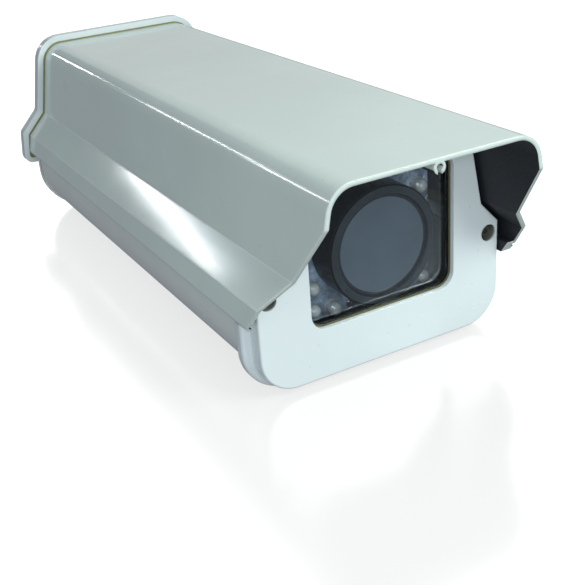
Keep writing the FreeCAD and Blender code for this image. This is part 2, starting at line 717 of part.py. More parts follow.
def closing_rail(body):
    """The rail along the cover's right foot, with its finger groove."""
    groove_low = RAIL_LOW + (size("rail_height") - size("groove_high")) / 2
    groove_top = groove_low + size("groove_high")
    groove_x = size("rail_outer") - size("groove_deep")
    chamfer = size("rail_chamfer")
    rail = new_sketch(body, FRONT)
    draw_outline(rail, [
        (size("rail_inner"), RAIL_LOW),
        (size("rail_outer") - chamfer, RAIL_LOW),
        (size("rail_outer"), RAIL_LOW + chamfer),
        (size("rail_outer"), groove_low),
        (groove_x, groove_low),
        (groove_x, groove_top),
        (size("rail_outer"), groove_top),
        (size("rail_outer"), RAIL_TOP),
        (size("rail_inner"), RAIL_TOP),
    ])
    pad(body, rail, COVER_LENGTH, back=True)


def cover_mouths(body):
    """Open slots of the hinge channel and the roof port."""
    mouths = new_sketch(body, FRONT)
    lip = -size("lip_angle")
    reach = CHANNEL_OUTER * 2
    over = CHANNEL_OUTER + size("hinge_play")
    # The channel is open from under level round to upright, so the neck can pass.
    draw_outline(mouths, [
        (HINGE_X, HINGE_Z),
        (HINGE_X + reach * lip.cosine(), HINGE_Z + reach * lip.sine()),
        (HINGE_X + reach, HINGE_Z),
        (HINGE_X + reach / 4, HINGE_Z + over),
        (HINGE_X, HINGE_Z + over),
    ])
    half = size("port_mouth") / 2
    draw_outline(mouths, rect(-half, half, ROOF_PORT_Z - ROOF_PORT_OUTER * 2, ROOF_PORT_Z))
    pocket(body, mouths, COVER_LENGTH)


def visor(body):
    """Side view of the visor's cut: upright at the top, then leaning back."""
    side = new_sketch(body, SIDE)
    knee = size("cover_height") - size("visor_drop")
    foot = RAIL_LOW - size("cut_over")
    draw_outline(side, [
        (-size("cut_over"), foot),
        ((knee - foot) * size("visor_lean"), foot),
        (0, knee),
        (-size("cut_over"), knee),
    ])
    pocket(body, side, size("flare_half") * 4, both=True)


def rail_holes(body):
    """Trim of the rail beside the window cap, and its holes for the closing and rear screws."""
    trim = new_sketch(body, FRONT)
    trim_x = size("cap_half") + size("rail_clear")
    draw_outline(trim, rect(
        size("rail_inner") - size("embed"), trim_x, RAIL_LOW - size("embed"), RAIL_TOP + size("embed"),
    ))
    pocket(body, trim, size("visor_reach") + size("cap_depth") + size("rail_past_cap"))
    holes = new_sketch(body, TOP)
    for y in LOCK_YS:
        draw_circle(holes, size("lock_half"), y - COVER_Y, size("lock_radius") + size("lock_play"))
    pocket(body, holes, RAIL_TOP + size("lock_over"), back=True)
    end_hole = new_sketch(body, FRONT, -COVER_LENGTH)
    draw_circle(end_hole, size("lock_half"), RAIL_LOW + size("rail_height") / 2, ROOF_PORT_INNER)
    pocket(body, end_hole, size("rail_hole_deep"), back=True)


def rim_outline(outward):
    """Closed outline of the cover's rear end, moved outward and closed under the skirts."""
    foot = size("rim_low") + size("rim_proud") - size("seam_proud")
    left = (HINGE_X - CHANNEL_OUTER, foot)
    right = (-left[0], foot)
    soft = size("rim_soft")
    line = [
        corner if len(corner) > 2 else corner + (soft,) for corner in cover_line(left, right, outward)
    ]
    low = foot - outward
    for end in (0, -1):
        line[end] = (line[end][0], low, outward + size("rim_foot_round"))
    return line


def rim_opening():
    """Outline of the open middle of the cover's rear gasket and of the hollow in its cap."""
    return inside_outline(
        size("upper_half"), size("shoulder_height") + size("rim_wall"), size("rim_open_corner"),
        size("rim_proud") + size("rim_open_inset"), CAP_TOP - size("rim_open_drop"), size("cap_top_corner"),
    )


def rim_screw_spots(y):
    """The roof port, the end of the hinge channel and the end of the closing rail."""
    return (
        (0, y, ROOF_PORT_Z),
        (HINGE_X, y, HINGE_Z),
        (size("lock_half"), y, RAIL_LOW + size("rail_height") / 2),
    )


def drill_rim(body, radius, length):
    """Holes for the rear cap's three screws."""
    holes = new_sketch(body, FRONT)
    for x, _, z in rim_screw_spots(0):
        draw_circle(holes, x, z, radius)
    pocket(body, holes, length)


def cover_rear_cap():
    """The dished cap on the cover's rear end, proud of the cover all round."""
    body = new_body("cover_rear_cap", y=RIM_Y)
    outline = new_sketch(body, FRONT)
    draw_outline(outline, rim_outline(size("rim_proud")))
    pad(body, outline, size("rim_depth"), back=True)
    dress_edges(body, "Fillet", size("rim_wall"), lambda edge: lies_at(edge, "Y", size("rim_depth")))
    hollow = new_sketch(body, FRONT)
    draw_outline(hollow, rim_opening())
    pocket(body, hollow, size("rim_depth") - size("rim_wall"))
    drill_rim(body, size("rim_screw_radius") + size("fit_gap"), size("rim_depth"))
    return body


def cover_rear_gasket():
    """Rubber frame between the cover and its rear cap."""
    body = new_body("cover_rear_gasket", y=COVER_END)
    outline = new_sketch(body, FRONT)
    draw_outline(outline, rim_outline(size("seam_proud")))
    draw_outline(outline, rim_opening())
    pad(body, outline, size("gasket_thick"), back=True)
    drill_rim(body, size("rim_screw_radius") + size("fit_gap"), size("gasket_thick"))
    return body


def screw(label, kind):
    """A pan-head screw along +Y, with its head's seat at the origin and a hexagon drive."""
    shank = size(f"{kind}_screw_radius")
    length = size(f"{kind}_screw_long")
    head = size(f"{kind}_head_radius")
    high = size(f"{kind}_head_high")
    body = new_body(label)
    profile = new_sketch(body, TOP)
    draw_outline(profile, [
        (0, length),
        (0, -high),
        (head * HEAD_CROWN, -high),
        (head, -high / 2),
        (head, 0),
        (shank, 0),
        (shank, length - shank * TIP_LENGTH),
        (shank * TIP_WIDTH, length),
    ])
    revolve(body, profile)
    socket = new_sketch(body, FRONT, high)
    hexagon(socket, 0, 0, size(f"{kind}_drive"))
    pocket(body, socket, high * DRIVE_DEPTH)
    return body


def upright_screw(label, kind, length):
    """A small pan-head screw along -Z, with its head's seat at the origin."""
    shank = size(f"{kind}_screw_radius")
    head = size(f"{kind}_head_radius")
    high = size(f"{kind}_head_high")
    body = new_body(label)
    profile = new_sketch(body, FRONT)
    draw_outline(profile, [
        (0, -length),
        (shank, -length),
        (shank, 0),
        (head, 0),
        (head, high / 2),
        (head * HEAD_CROWN, high),
        (0, high),
    ])
    revolve(body, profile)
    return body


def turned(label, master):
    """The master turned to point forward, ready to be copied."""
    link = doc.addObject("App::Link", f"{label}_link")
    link.LinkedObject = master
    link.Placement.Rotation = FreeCAD.Rotation(FreeCAD.Vector(0, 0, 1), 180)
    group = doc.addObject("Part::Compound", label)
    group.Links = [link]
    return group


def fixings():
    """Screws of the end pieces, each kind as one group."""
    end_screw = screw("end_screw", "end")
    upper, lower = end_screw_spots()
    seat = FACE_Y + size("recess_deep")
    copies("front_cap_screws", end_screw, [(x, seat, z) for x, z in upper])
    # The rear screws point forward.
    rear_screw = turned("rear_screw", end_screw)
    back = PLATE_Y + size("plate_thick") - size("plate_recess")
    copies("rear_plate_screws", rear_screw, [(x, back, z) for x, z in upper + lower])
    rim_screw = turned("rim_screw_turned", screw("rim_screw", "rim"))
    copies("cover_rear_screws", rim_screw, rim_screw_spots(RIM_Y + size("rim_depth")))


def tray_outer():
    """Outer line of the tray's section, from the left wall's top to the right wall's top."""
    right_corner = size("tray_corner") - (size("tray_half") - size("upper_half"))
    return [
        (-size("upper_half"), size("wall_top")),
        (-size("upper_half"), size("shoulder_height")),
        (-size("tray_half"), size("shoulder_height")),
        (-size("tray_half"), size("tray_bottom"), size("tray_corner")),
        (-size("land_half"), size("tray_bottom")),
        (-size("land_half"), 0),
        (size("land_half"), 0),
        (size("land_half"), size("tray_bottom")),
        (size("upper_half"), size("tray_bottom"), right_corner),
        (size("upper_half"), size("wall_top")),
    ]


def tray_inner():
    """Inner line of the tray's section, from the right wall's top to the left wall's top."""
    wall = size("tray_wall")
    floor = size("tray_bottom") + wall
    inside = size("upper_half") - wall
    left_low = size("tray_half") - wall
    right_corner = size("tray_corner") - (size("tray_half") - size("upper_half")) - wall
    land = size("land_thick")
    land_foot = size("land_half") + size("land_slope")
    return [
        (inside, size("wall_top")),
        (inside, floor, right_corner),
        (land_foot, floor),
        (size("land_half"), land),
        (-size("land_half"), land),
        (-land_foot, floor),
        (-left_low, floor, size("tray_corner") - wall),
        (-left_low, size("shoulder_height") - wall),
        (-inside, size("shoulder_height") - wall),
        (-inside, size("wall_top")),
    ]


def sled_rail(side):
    """C-shaped rail on the tray's floor that the sled slides in."""
    play = size("sled_play")
    web = size("rail_web")
    inner = size("sled_half") + play
    lip_low = SLED_TOP + play
    sole = inner - size("rail_sole")
    lip = inner - size("rail_lip")
    root = size("tray_bottom") + size("embed")
    corners = [
        (sole, root),
        (inner + web, root),
        (inner + web, lip_low + web),
        (lip, lip_low + web),
        (lip, lip_low),
        (inner, lip_low),
        (inner, SLED_Z - play),
        (sole, SLED_Z - play),
    ]
    return corners if side > 0 else mirrored(corners)


def base_tray():
    """The extruded tray: floor with the base land, side walls, hinge bead and closing flange."""
    body = new_body("base_tray", y=TRAY_Y)
    length = size("tray_length")
    section = new_sketch(body, FRONT)
    draw_outline(section, tray_outer() + tray_inner())
    pad(body, section, length, back=True)
    for side in (-1, 1):
        rail = new_sketch(body, FRONT)
        draw_outline(rail, sled_rail(side))
        pad(body, rail, length, back=True)
    closing_flange(body)
    end_ports(body)
    hinge_bead(body)
    holes = new_sketch(body, TOP, size("base_hole_deep"))
    for x in (-1, 1):
        for y in (-1, 1):
            across = x * size("base_pitch_x") / 2
            along = y * size("base_pitch_y") / 2
            draw_circle(holes, across, along - TRAY_Y, size("base_hole_radius"))
    pocket(body, holes, size("base_hole_deep"))
    locks = new_sketch(body, TOP, size("shoulder_height"))
    for y in LOCK_YS:
        draw_circle(locks, size("lock_half"), y - TRAY_Y, size("lock_radius") + size("lock_play"))
    pocket(body, locks, size("flange_thick"))
    return body


def closing_flange(body):
    """The flange along the tray's right side, under the cover's rail."""
    root = size("upper_half") - size("embed")
    top = size("shoulder_height")
    low = top - size("flange_thick")
    edge = size("flange_half")
    chamfer = size("flange_chamfer")
    flange = new_sketch(body, FRONT)
    draw_outline(flange, [
        (root, low),
        (edge - chamfer, low),
        (edge, low + chamfer),
        (edge, top),
        (root, top),
    ])
    pad(body, flange, size("tray_length"), back=True)


def end_ports(body):
    """Open screw ports in the tray's four corners, the upper ones open below."""
    ports = new_sketch(body, FRONT)
    bores = new_sketch(body, FRONT)
    mouths = new_sketch(body, FRONT)
    upper, lower = end_screw_spots()
    for x, z in upper + lower:
        draw_circle(ports, x, z, PORT_OUTER)
        draw_circle(bores, x, z, PORT_INNER)
    half = size("port_mouth") / 2
    reach = PORT_OUTER + size("embed")
    for x, z in upper:
        draw_outline(mouths, rect(x - half, x + half, z - reach, z))
    for x, z in lower:
        draw_outline(mouths, rect(x - half, x + half, z, z + reach))
    pad(body, ports, size("tray_length"), back=True)
    pocket(body, bores, size("tray_length"))
    pocket(body, mouths, size("tray_length"))


def hinge_bead(body):
    """The bead under a level arm with a slanting neck, all short of the tray's ends."""
    length = size("tray_length") - size("bead_setback") * 2
    angle = size("neck_angle")
    along = (angle.cosine(), angle.sine())
    rise = size("arm_rise")
    half = size("neck_thick") / 2
    tip_x = HINGE_X + rise / along[1] * along[0]
    arm_z = HINGE_Z + rise
    root = -size("upper_half") + size("embed")
    neck = new_sketch(body, FRONT, -size("bead_setback"))
    draw_outline(neck, [
        (HINGE_X - half * along[1], HINGE_Z + half * along[0]),
        (HINGE_X + half * along[1], HINGE_Z - half * along[0]),
        (tip_x + half, arm_z - half),
        (root, arm_z - half),
        (root, arm_z + half),
        (tip_x - half, arm_z + half),
    ])
    pad(body, neck, length, back=True)
    bead = new_sketch(body, FRONT, -size("bead_setback"))
    draw_circle(bead, HINGE_X, HINGE_Z, size("bead_radius"))
    pad(body, bead, length, back=True)


def cover_seal():
    """Rubber edge trims on the tops of the tray's side walls."""
    outer = size("upper_half")
    inner = outer - size("tray_wall")
    base = size("wall_top")
    foot = base + size("trim_foot")
    top = base + size("trim_high")
    bulge = size("trim_bulge")
    corners = [
        (inner - size("trim_grip"), base),
        (outer, base),
        (outer, foot),
        (inner + bulge / 4, top, size("trim_round")),
        (inner - bulge, top, size("trim_round")),
        (inner - bulge / 2, foot),
    ]
    trims = []
    for side, name in ((-1, "left_trim"), (1, "right_trim")):
        body = new_body(name, y=TRAY_Y)
        sketch = new_sketch(body, FRONT)
        draw_outline(sketch, corners if side > 0 else mirrored(corners))
        pad(body, sketch, size("tray_length"), back=True)
        trims.append(body)
    group = doc.addObject("Part::Compound", "cover_seal")
    group.Label = "cover_seal"
    group.Links = trims
    return group


def front_cap():
    """The cast window cap: a face with rounded lower corners, a foot flange and a tongue."""
    body = new_body("front_cap", y=FACE_Y)
    depth = size("cap_depth")
    face = new_sketch(body, FRONT)
    draw_outline(face, inside_outline(
        size("cap_half"), size("cap_bottom"), size("cap_corner"), size("cap_inset"),
        CAP_TOP, size("cap_top_corner"),
    ))
    pad(body, face, depth, back=True)
    dress_edges(body, "Fillet", size("face_round"), lambda edge: lies_at(edge, "Y", as_size(0)))
    cap_foot(body)
    cap_hollow(body)
    cap_holes(body)
    # A blade under the window seats the cap on the tray's base land.
    tongue = new_sketch(body, FRONT, -size("face_wall"))
    low = size("land_thick") + size("fit_gap")
    draw_outline(tongue, rect(-size("tongue_half"), size("tongue_half"), low, low + size("tongue_thick")))
    reach = depth - size("face_wall") + size("gasket_thick") + size("tongue_depth")
    pad(body, tongue, reach, back=True)
    return body


def cap_foot(body):
    """The flange at the cap's back that meets the tray's end, soft along its front edge."""
    half = size("foot_half")
    top = size("shoulder_height")
    foot_front = size("cap_depth") - size("foot_depth")
    foot = new_sketch(body, FRONT, -foot_front)
    draw_outline(foot, [
        (-half, top),
        (-half, as_size(0), size("foot_corner")),
        (half, as_size(0), size("foot_corner")),
        (half, top),
    ])
    pad(body, foot, size("foot_depth"), back=True)
    beside = size("cap_half").value + size("embed").value
    under_top = top.value - size("embed").value
    dress_edges(body, "Fillet", size("foot_round"), lambda edge: (
        lies_at(edge, "Y", foot_front)
        and edge.BoundBox.ZMin < under_top
        and max(-edge.BoundBox.XMin, edge.BoundBox.XMax) > beside
    ))


def cap_hollow(body):
    """The cap's hollow back, with bosses for the end screws and the glass retainer."""
    wall = size("cap_wall")
    behind_face = size("cap_depth") - size("face_wall")
    hollow = new_sketch(body, FRONT, -size("cap_depth"))
    draw_outline(hollow, inside_outline(
        size("cap_half") - wall, size("cap_bottom") + wall + size("hollow_lift"), size("cap_corner") - wall,
        size("cap_inset") + wall, CAP_TOP - wall, size("cap_top_corner") - wall,
    ))
    pocket(body, hollow, behind_face, back=True)
    bosses = new_sketch(body, FRONT, -size("face_wall"))
    for x, z in end_screw_spots()[0]:
        draw_circle(bosses, x, z, size("recess_radius") + size("boss_wall"))
    pad(body, bosses, behind_face, back=True)
    ears = new_sketch(body, FRONT, -size("face_wall"))
    for x, z in retainer_spots():
        draw_circle(ears, x, z, size("ear_radius"))
    pad(body, ears, size("glass_seal") + size("glass_thick"), back=True)


def cap_holes(body):
    """The window, the recessed holes of the end screws and the retainer's tapped holes."""
    depth = size("cap_depth")
    window = new_sketch(body, FRONT)
    draw_outline(window, window_outline(as_size(0), size("window_corner")))
    pocket(body, window, depth)
    recesses = new_sketch(body, FRONT)
    shanks = new_sketch(body, FRONT)
    for x, z in end_screw_spots()[0]:
        draw_circle(recesses, x, z, size("recess_radius"))
        draw_circle(shanks, x, z, PORT_INNER + size("fit_gap"))
    pocket(body, recesses, size("recess_deep"))
    pocket(body, shanks, depth)
    tapped = new_sketch(body, FRONT, -size("tap_floor"))
    for x, z in retainer_spots():
        draw_circle(tapped, x, z, SMALL_TAP)
    pocket(body, tapped, depth - size("tap_floor"))


def window_outline(grow, corner):
    """The window's outline, grown on every side."""
    return box_outline(WINDOW_HALF + grow, size("window_low") - grow, WINDOW_TOP + grow, corner)


def retainer_spots():
    """Screws of the glass retainer, beside the glass."""
    x = WINDOW_HALF + size("glass_lap") + size("ear_beside")
    heights = (size("window_low") + size("retainer_rise"), WINDOW_TOP - size("retainer_drop"))
    return [(side * x, height) for side in (-1, 1) for height in heights]


def window_pieces():
    """The glass and the gasket before it."""
    corner = size("window_corner")
    lap = size("glass_lap")
    show = size("seal_show")
    gasket = new_body("window_gasket", y=FACE_Y + size("face_wall"))
    sketch = new_sketch(gasket, FRONT)
    draw_outline(sketch, window_outline(lap, corner))
    draw_outline(sketch, window_outline(-show, corner - show))
    pad(gasket, sketch, size("glass_seal"), back=True)
    glass = new_body("window_glass", y=FACE_Y + size("face_wall") + size("glass_seal"))
    sketch = new_sketch(glass, FRONT)
    draw_outline(sketch, window_outline(lap, corner))
    pad(glass, sketch, size("glass_thick"), back=True)


def window_retainer():
    """The sheet frame that holds the glass, with an ear for each of its screws."""
    corner = size("window_corner")
    thick = size("retainer_thick")
    seat = FACE_Y + size("face_wall") + size("glass_seal") + size("glass_thick")
    body = new_body("window_retainer", y=seat)
    frame = new_sketch(body, FRONT)
    draw_outline(frame, window_outline(size("glass_lap"), corner))
    pad(body, frame, thick, back=True)
    ear = size("ear_radius")
    root = WINDOW_HALF + size("glass_lap") - size("embed")
    for x, z in retainer_spots():
        side = 1 if x.value > 0 else -1
        end = x + side * ear
        soft = ear - size("screw_play")
        sketch = new_sketch(body, FRONT)
        draw_outline(sketch, [
            (side * root, z - ear),
            (end, z - ear, soft),
            (end, z + ear, soft),
            (side * root, z + ear),
        ])
        pad(body, sketch, thick, back=True)
    opening = new_sketch(body, FRONT)
    draw_outline(opening, window_outline(as_size(0), corner))
    for x, z in retainer_spots():
        draw_circle(opening, x, z, size("small_screw_radius") + size("fit_gap"))
    pocket(body, opening, thick)
    small = turned("retainer_screw_turned", screw("retainer_screw", "small"))
    copies("retainer_screws", small, [(x, seat + thick, z) for x, z in retainer_spots()])


def end_gasket(label, y, screws):
    """U-shaped rubber gasket on one end of the tray, with holes for the end screws."""
    body = new_body(label, y=y)
    sketch = new_sketch(body, FRONT)
    inside = size("upper_half") - size("gasket_wide")
    inner_corner = size("tray_corner") - size("gasket_corner_less")
    outer = tray_outer()
    draw_outline(sketch, outer[:4] + outer[8:] + [
        (inside, size("wall_top")),
        (inside, size("land_thick"), inner_corner),
        (-inside, size("land_thick"), inner_corner),
        (-inside, size("wall_top")),
    ])
    pad(body, sketch, size("gasket_thick"), back=True)
    holes = new_sketch(body, FRONT)
    for x, z in screws:
        draw_circle(holes, x, z, size("end_screw_radius") + size("fit_gap"))
    pocket(body, holes, size("gasket_thick"))
    return body


def end_screw_spots():
    """Upper and lower end screws, each as pairs of x and z."""
    upper = [(side * size("end_port_half"), size("end_port_height")) for side in (-1, 1)]
    lower = [(side * size("low_port_half"), size("low_port_height")) for side in (-1, 1)]
    return upper, lower


def gland_spots():
    """The two cable glands."""
    return [(side * size("gland_half"), size("gland_height")) for side in (-1, 1)]


def rear_plate():
    """Flat plate that closes the tray's rear end and carries the cable glands."""
    body = new_body("rear_plate", y=PLATE_Y)
    thick = size("plate_thick")
    lower = new_sketch(body, FRONT)
    draw_outline(lower, [
        (-size("tray_half"), size("shoulder_height")),
        (-size("tray_half"), size("plate_bottom"), size("tray_corner")),
        (size("tray_half"), size("plate_bottom"), size("tray_corner")),
        (size("tray_half"), size("shoulder_height")),
    ])
    pad(body, lower, thick, back=True)
    upper = new_sketch(body, FRONT)
    draw_outline(upper, inside_outline(
        size("upper_half") + size("plate_wider"), size("shoulder_height") - size("plate_overlap"),
        size("plate_soft"), size("cap_inset"), CAP_TOP, size("cap_top_corner"),
    ))
    pad(body, upper, thick, back=True)
    holes = new_sketch(body, FRONT)
    recesses = new_sketch(body, FRONT, -thick)
    screws_high, screws_low = end_screw_spots()
    for x, z in screws_high + screws_low:
        draw_circle(holes, x, z, size("end_screw_radius") + size("fit_gap"))
        draw_circle(recesses, x, z, size("recess_radius"))
    for x, z in gland_spots():
        draw_circle(holes, x, z, size("gland_radius") + size("fit_gap"))
    pocket(body, holes, thick)
    pocket(body, recesses, size("plate_recess"), back=True)
    return body


def hexagon(sketch, x, z, flats):
    """A hexagon about x and z with two level flats."""
    flat = flats / 2
    side = flats / math.sqrt(3)
    draw_outline(sketch, [
        (x + side, z),
        (x + side / 2, z + flat),
        (x - side / 2, z + flat),
        (x - side, z),
        (x - side / 2, z - flat),
        (x + side / 2, z - flat),
    ])


def glands():
    """Bodies, inner nuts, seals and outer caps of the two cable glands."""
    spots = [(x, PLATE_Y + size("plate_thick"), z) for x, z in gland_spots()]
    copies("gland_bodies", gland_body(), spots)
    copies("gland_locknuts", gland_nut(), spots)
    copies("gland_seals", gland_seal(), spots)
    copies("gland_caps", gland_cap(), spots)


def gland_body():
    """Threaded tube through the rear plate, with a hexagon outside it."""
    body = new_body("gland_body")
    inward = size("plate_thick") + size("gland_nut") + size("gland_stub")
    stub = new_sketch(body, FRONT, inward)
    draw_circle(stub, 0, 0, size("gland_radius"))
    pad(body, stub, inward + GLAND_TOP, back=True)
    hexed = new_sketch(body, FRONT)
    hexagon(hexed, 0, 0, size("gland_flats"))
    pad(body, hexed, size("gland_collar"), back=True)
    through = new_sketch(body, FRONT, inward)
    draw_circle(through, 0, 0, size("gland_bore"))
    pocket(body, through, inward + GLAND_TOP)
    return body


def gland_nut():
    """Nut on the gland's thread inside the rear plate."""
    body = new_body("gland_nut")
    hexed = new_sketch(body, FRONT, size("plate_thick") + size("gland_nut"))
    hexagon(hexed, 0, 0, size("gland_flats"))
    draw_circle(hexed, 0, 0, size("gland_radius") + size("screw_play"))
    pad(body, hexed, size("gland_nut"), back=True)
    return body


def gland_seal():
    """Rubber seal in the gland's mouth, with a nose that the outer cap presses on."""
    body = new_body("gland_seal")
    profile = new_sketch(body, TOP)
    hole = size("cable_radius")
    fit = size("gland_bore") - size("screw_play")
    draw_outline(profile, [
        (hole, size("gland_collar")),
        (fit, size("gland_collar")),
        (fit, GLAND_TOP),
        (size("gland_radius") - size("seal_set_in"), GLAND_TOP + size("seal_slope")),
        (hole + size("seal_lip"), GLAND_TOP + size("seal_nose")),
        (hole, GLAND_TOP + size("seal_nose")),
    ])
    revolve(body, profile)
    return body


def gland_cap():
    """Domed cap screwed over the gland's mouth and seal."""
    body = new_body("gland_dome")
    profile = new_sketch(body, TOP)
    bore = size("gland_radius") + size("screw_play")
    skin = size("gland_radius") + size("dome_wall")
    seat = size("gland_collar") + size("dome_gap")
    chamfer = size("dome_chamfer")
    gap = size("seal_gap")
    lip = size("cable_radius") + size("seal_lip") + gap
    draw_outline(profile, [
        (bore, seat),
        (skin - chamfer, seat),
        (skin, seat + chamfer),
        (skin, GLAND_TOP),
        (size("cable_radius") + size("dome_brow"), GLAND_TOP + size("dome_high"), size("dome_round")),
        (lip, GLAND_TOP + size("dome_high")),
        (lip, GLAND_TOP + size("seal_nose") + gap),
        (size("gland_radius") - size("seal_set_in") + gap * 4, GLAND_TOP + size("seal_slope") + gap * 2),
        (bore, GLAND_TOP + gap * 2),
    ])
    revolve(body, profile)
    return body


def lock_screw(label, y):
    """A knurled closing screw that passes up through the tray's flange into the cover's rail."""
    body = new_body(label, size("lock_half"), y, size("shoulder_height") - size("flange_thick"))
    head = size("lock_head_radius")
    high = size("lock_head_high")
    shank = size("lock_radius")
    tip = size("flange_thick") + size("lock_reach")
    neck = size("lock_neck")
    chamfer = size("lock_chamfer")
    seat = -size("lock_seat")
    profile = new_sketch(body, FRONT)
    draw_outline(profile, [
        (0, -high),
        (head - chamfer, -high),
        (head, -high + chamfer),
        (head, -neck - chamfer),
        (head - chamfer, -neck),
        (head - chamfer, seat),
        (shank, seat),
        (shank, tip - chamfer),
        (shank - chamfer, tip),
        (0, tip),
    ])
    revolve(body, profile)
    flutes = new_sketch(body, TOP)
    around = head + size("flute_out")
    for turn in range(LOCK_FLUTES):
        angle = as_size(turn * 360 / LOCK_FLUTES)
        draw_circle(flutes, around * angle.cosine(), around * angle.sine(), size("flute_radius"))
    pocket(body, flutes, high)
    return body


def camera_sled():
    """Slotted sheet that slides along the tray's rails and carries the camera."""
    start = behind(size("sled_start"))
    body = new_body("camera_sled", y=start, z=SLED_Z)
    length = size("sled_length")
    half = size("sled_half")
    outline = new_sketch(body, TOP)
    draw_outline(outline, [corner + (size("sled_corner"),) for corner in rect(-half, half, 0, length)])
    pad(body, outline, size("sled_thick"))
    cuts = new_sketch(body, TOP, size("sled_thick"))
    slot = size("slot_half")
    slot_end = length - size("slot_from_back")
    for side in (-1, 1):
        x = side * size("slot_x")
        for_slot = rect(x - slot, x + slot, size("slot_from_front"), slot_end)
        draw_outline(cuts, [corner + (slot - size("screw_play"),) for corner in for_slot])
    for y in sled_lock_ys():
        for side in (-1, 1):
            x = side * size("sled_screw_half")
            draw_circle(cuts, x, y - start, size("sled_screw_radius") + size("screw_play"))
    for x, y in riser_screw_spots():
        draw_circle(cuts, x, y - start, size("riser_screw_radius") + size("screw_play"))
    pocket(body, cuts, size("sled_thick"))
    return body


def sled_lock_ys():
    """Clamping screws near both ends of the sled."""
    start = behind(size("sled_start"))
    return (start + size("sled_lock_front"), start + size("sled_length") - size("sled_lock_rear"))


def sled_fixings():
    """Clamping screws of the sled, pressed on the tray's land."""
    body = new_body("sled_screw")
    seat = SLED_TOP - size("land_thick")
    knob = size("knob_radius")
    high = size("knob_high")
    chamfer = size("knob_chamfer")
    shank = size("sled_screw_radius")
    profile = new_sketch(body, FRONT)
    draw_outline(profile, [
        (0, size("screw_play")),
        (shank, size("screw_play")),
        (shank, seat),
        (knob - chamfer, seat),
        (knob, seat + chamfer),
        (knob, seat + high - chamfer),
        (knob - chamfer, seat + high),
        (0, seat + high),
    ])
    revolve(body, profile)
    copies("sled_lock_screws", body, [
        (side * size("sled_screw_half"), y, size("land_thick")) for y in sled_lock_ys() for side in (-1, 1)
    ])


def riser_screw_spots():
    """Screws through the riser's feet, as pairs of x and y."""
    reach = size("riser_half") + size("riser_foot") / 2
    return [(LENS[0] + side * reach, RISER_Y + size("riser_long") / 2) for side in (-1, 1)]


def camera_riser():
    """The block under the camera, with two feet on the sled, and its screws."""
    x, z = LENS
    high = z - size("camera_high") / 2 - SLED_TOP
    half = size("riser_half")
    wide = half + size("riser_foot")
    thick = size("riser_foot_thick")
    body = new_body("camera_riser", x, RISER_Y, SLED_TOP)
    profile = new_sketch(body, FRONT)
    draw_outline(profile, [
        (-wide, 0),
        (wide, 0),
        (wide, thick),
        (half, thick),
        (half, high),
        (-half, high),
        (-half, thick),
        (-wide, thick),
    ])
    pad(body, profile, size("riser_long"), back=True)
    holes = new_sketch(body, TOP, thick)
    for spot_x, spot_y in riser_screw_spots():
        draw_circle(holes, spot_x - x, spot_y - RISER_Y, size("riser_screw_radius") + size("fit_gap"))
    pocket(body, holes, thick)
    master = upright_screw("riser_screw", "riser", thick + size("sled_thick"))
    copies("riser_screws", master, [
        (spot_x, spot_y, SLED_TOP + thick) for spot_x, spot_y in riser_screw_spots()
    ])


def camera_body():
    """The camera with the collar that its lens seats on."""
    x, z = LENS
    body = new_body("camera_body", x, behind(BARREL_END), z)
    high = size("camera_high") / 2
    outline = new_sketch(body, FRONT)
    draw_outline(outline, box_outline(size("camera_half"), -high, high, size("camera_round")))
    pad(body, outline, size("camera_length"), back=True)
    collar = new_sketch(body, FRONT)
    draw_circle(collar, 0, 0, size("barrel_radius") - size("collar_inset") - size("collar_play"))
    pad(body, collar, size("collar_deep"))


def camera_sockets():
    """The video socket and the supply terminal on the camera's back."""
    x, z = LENS
    socket = new_body("video_socket", x - size("socket_x"), behind(CAMERA_END), z + size("socket_rise"))
    bore = size("socket_bore")
    outside = size("socket_radius")
    chamfer = size("socket_chamfer")
    long = size("socket_long")
    profile = new_sketch(socket, TOP)
    draw_outline(profile, [
        (bore, 0),
        (size("socket_flange"), 0),
        (size("socket_flange"), size("socket_flange_thick")),
        (outside, size("socket_flange_thick")),
        (outside, long - chamfer),
        (outside - chamfer, long),
        (bore, long),
    ])
    revolve(socket, profile)
    terminal = new_body("camera_terminal", x + size("supply_x"), behind(CAMERA_END), z - size("supply_drop"))
    half = size("supply_half")
    high = size("supply_high") / 2
    block = new_sketch(terminal, FRONT)
    draw_outline(block, rect(-half, half, -high, high))
    pad(terminal, block, size("supply_deep"), back=True)
    ways = new_sketch(terminal, FRONT, -size("supply_deep"))
    for side in (-1, 1):
        draw_circle(ways, side * size("supply_way"), 0, size("way_radius"))
    pocket(terminal, ways, size("supply_way_deep"), back=True)


def lens_barrel():
    """The lens barrel from its hood to the camera's collar."""
    body = new_body("lens_barrel", LENS[0], behind(HOOD_END), LENS[1])
    radius = size("barrel_radius")
    long = size("barrel_length")
    front = radius - size("barrel_wall")
    recess = radius - size("collar_inset")
    bore = radius - size("barrel_thick")
    deep = size("collar_deep")
    profile = new_sketch(body, TOP)
    draw_outline(profile, [
        (front, 0),
        (radius, 0),
        (radius, long - size("barrel_taper")),
        (front, long),
        (recess, long),
        (recess, long - deep),
        (bore, long - deep * 2),
        (bore, size("barrel_mouth")),
    ])
    revolve(body, profile)


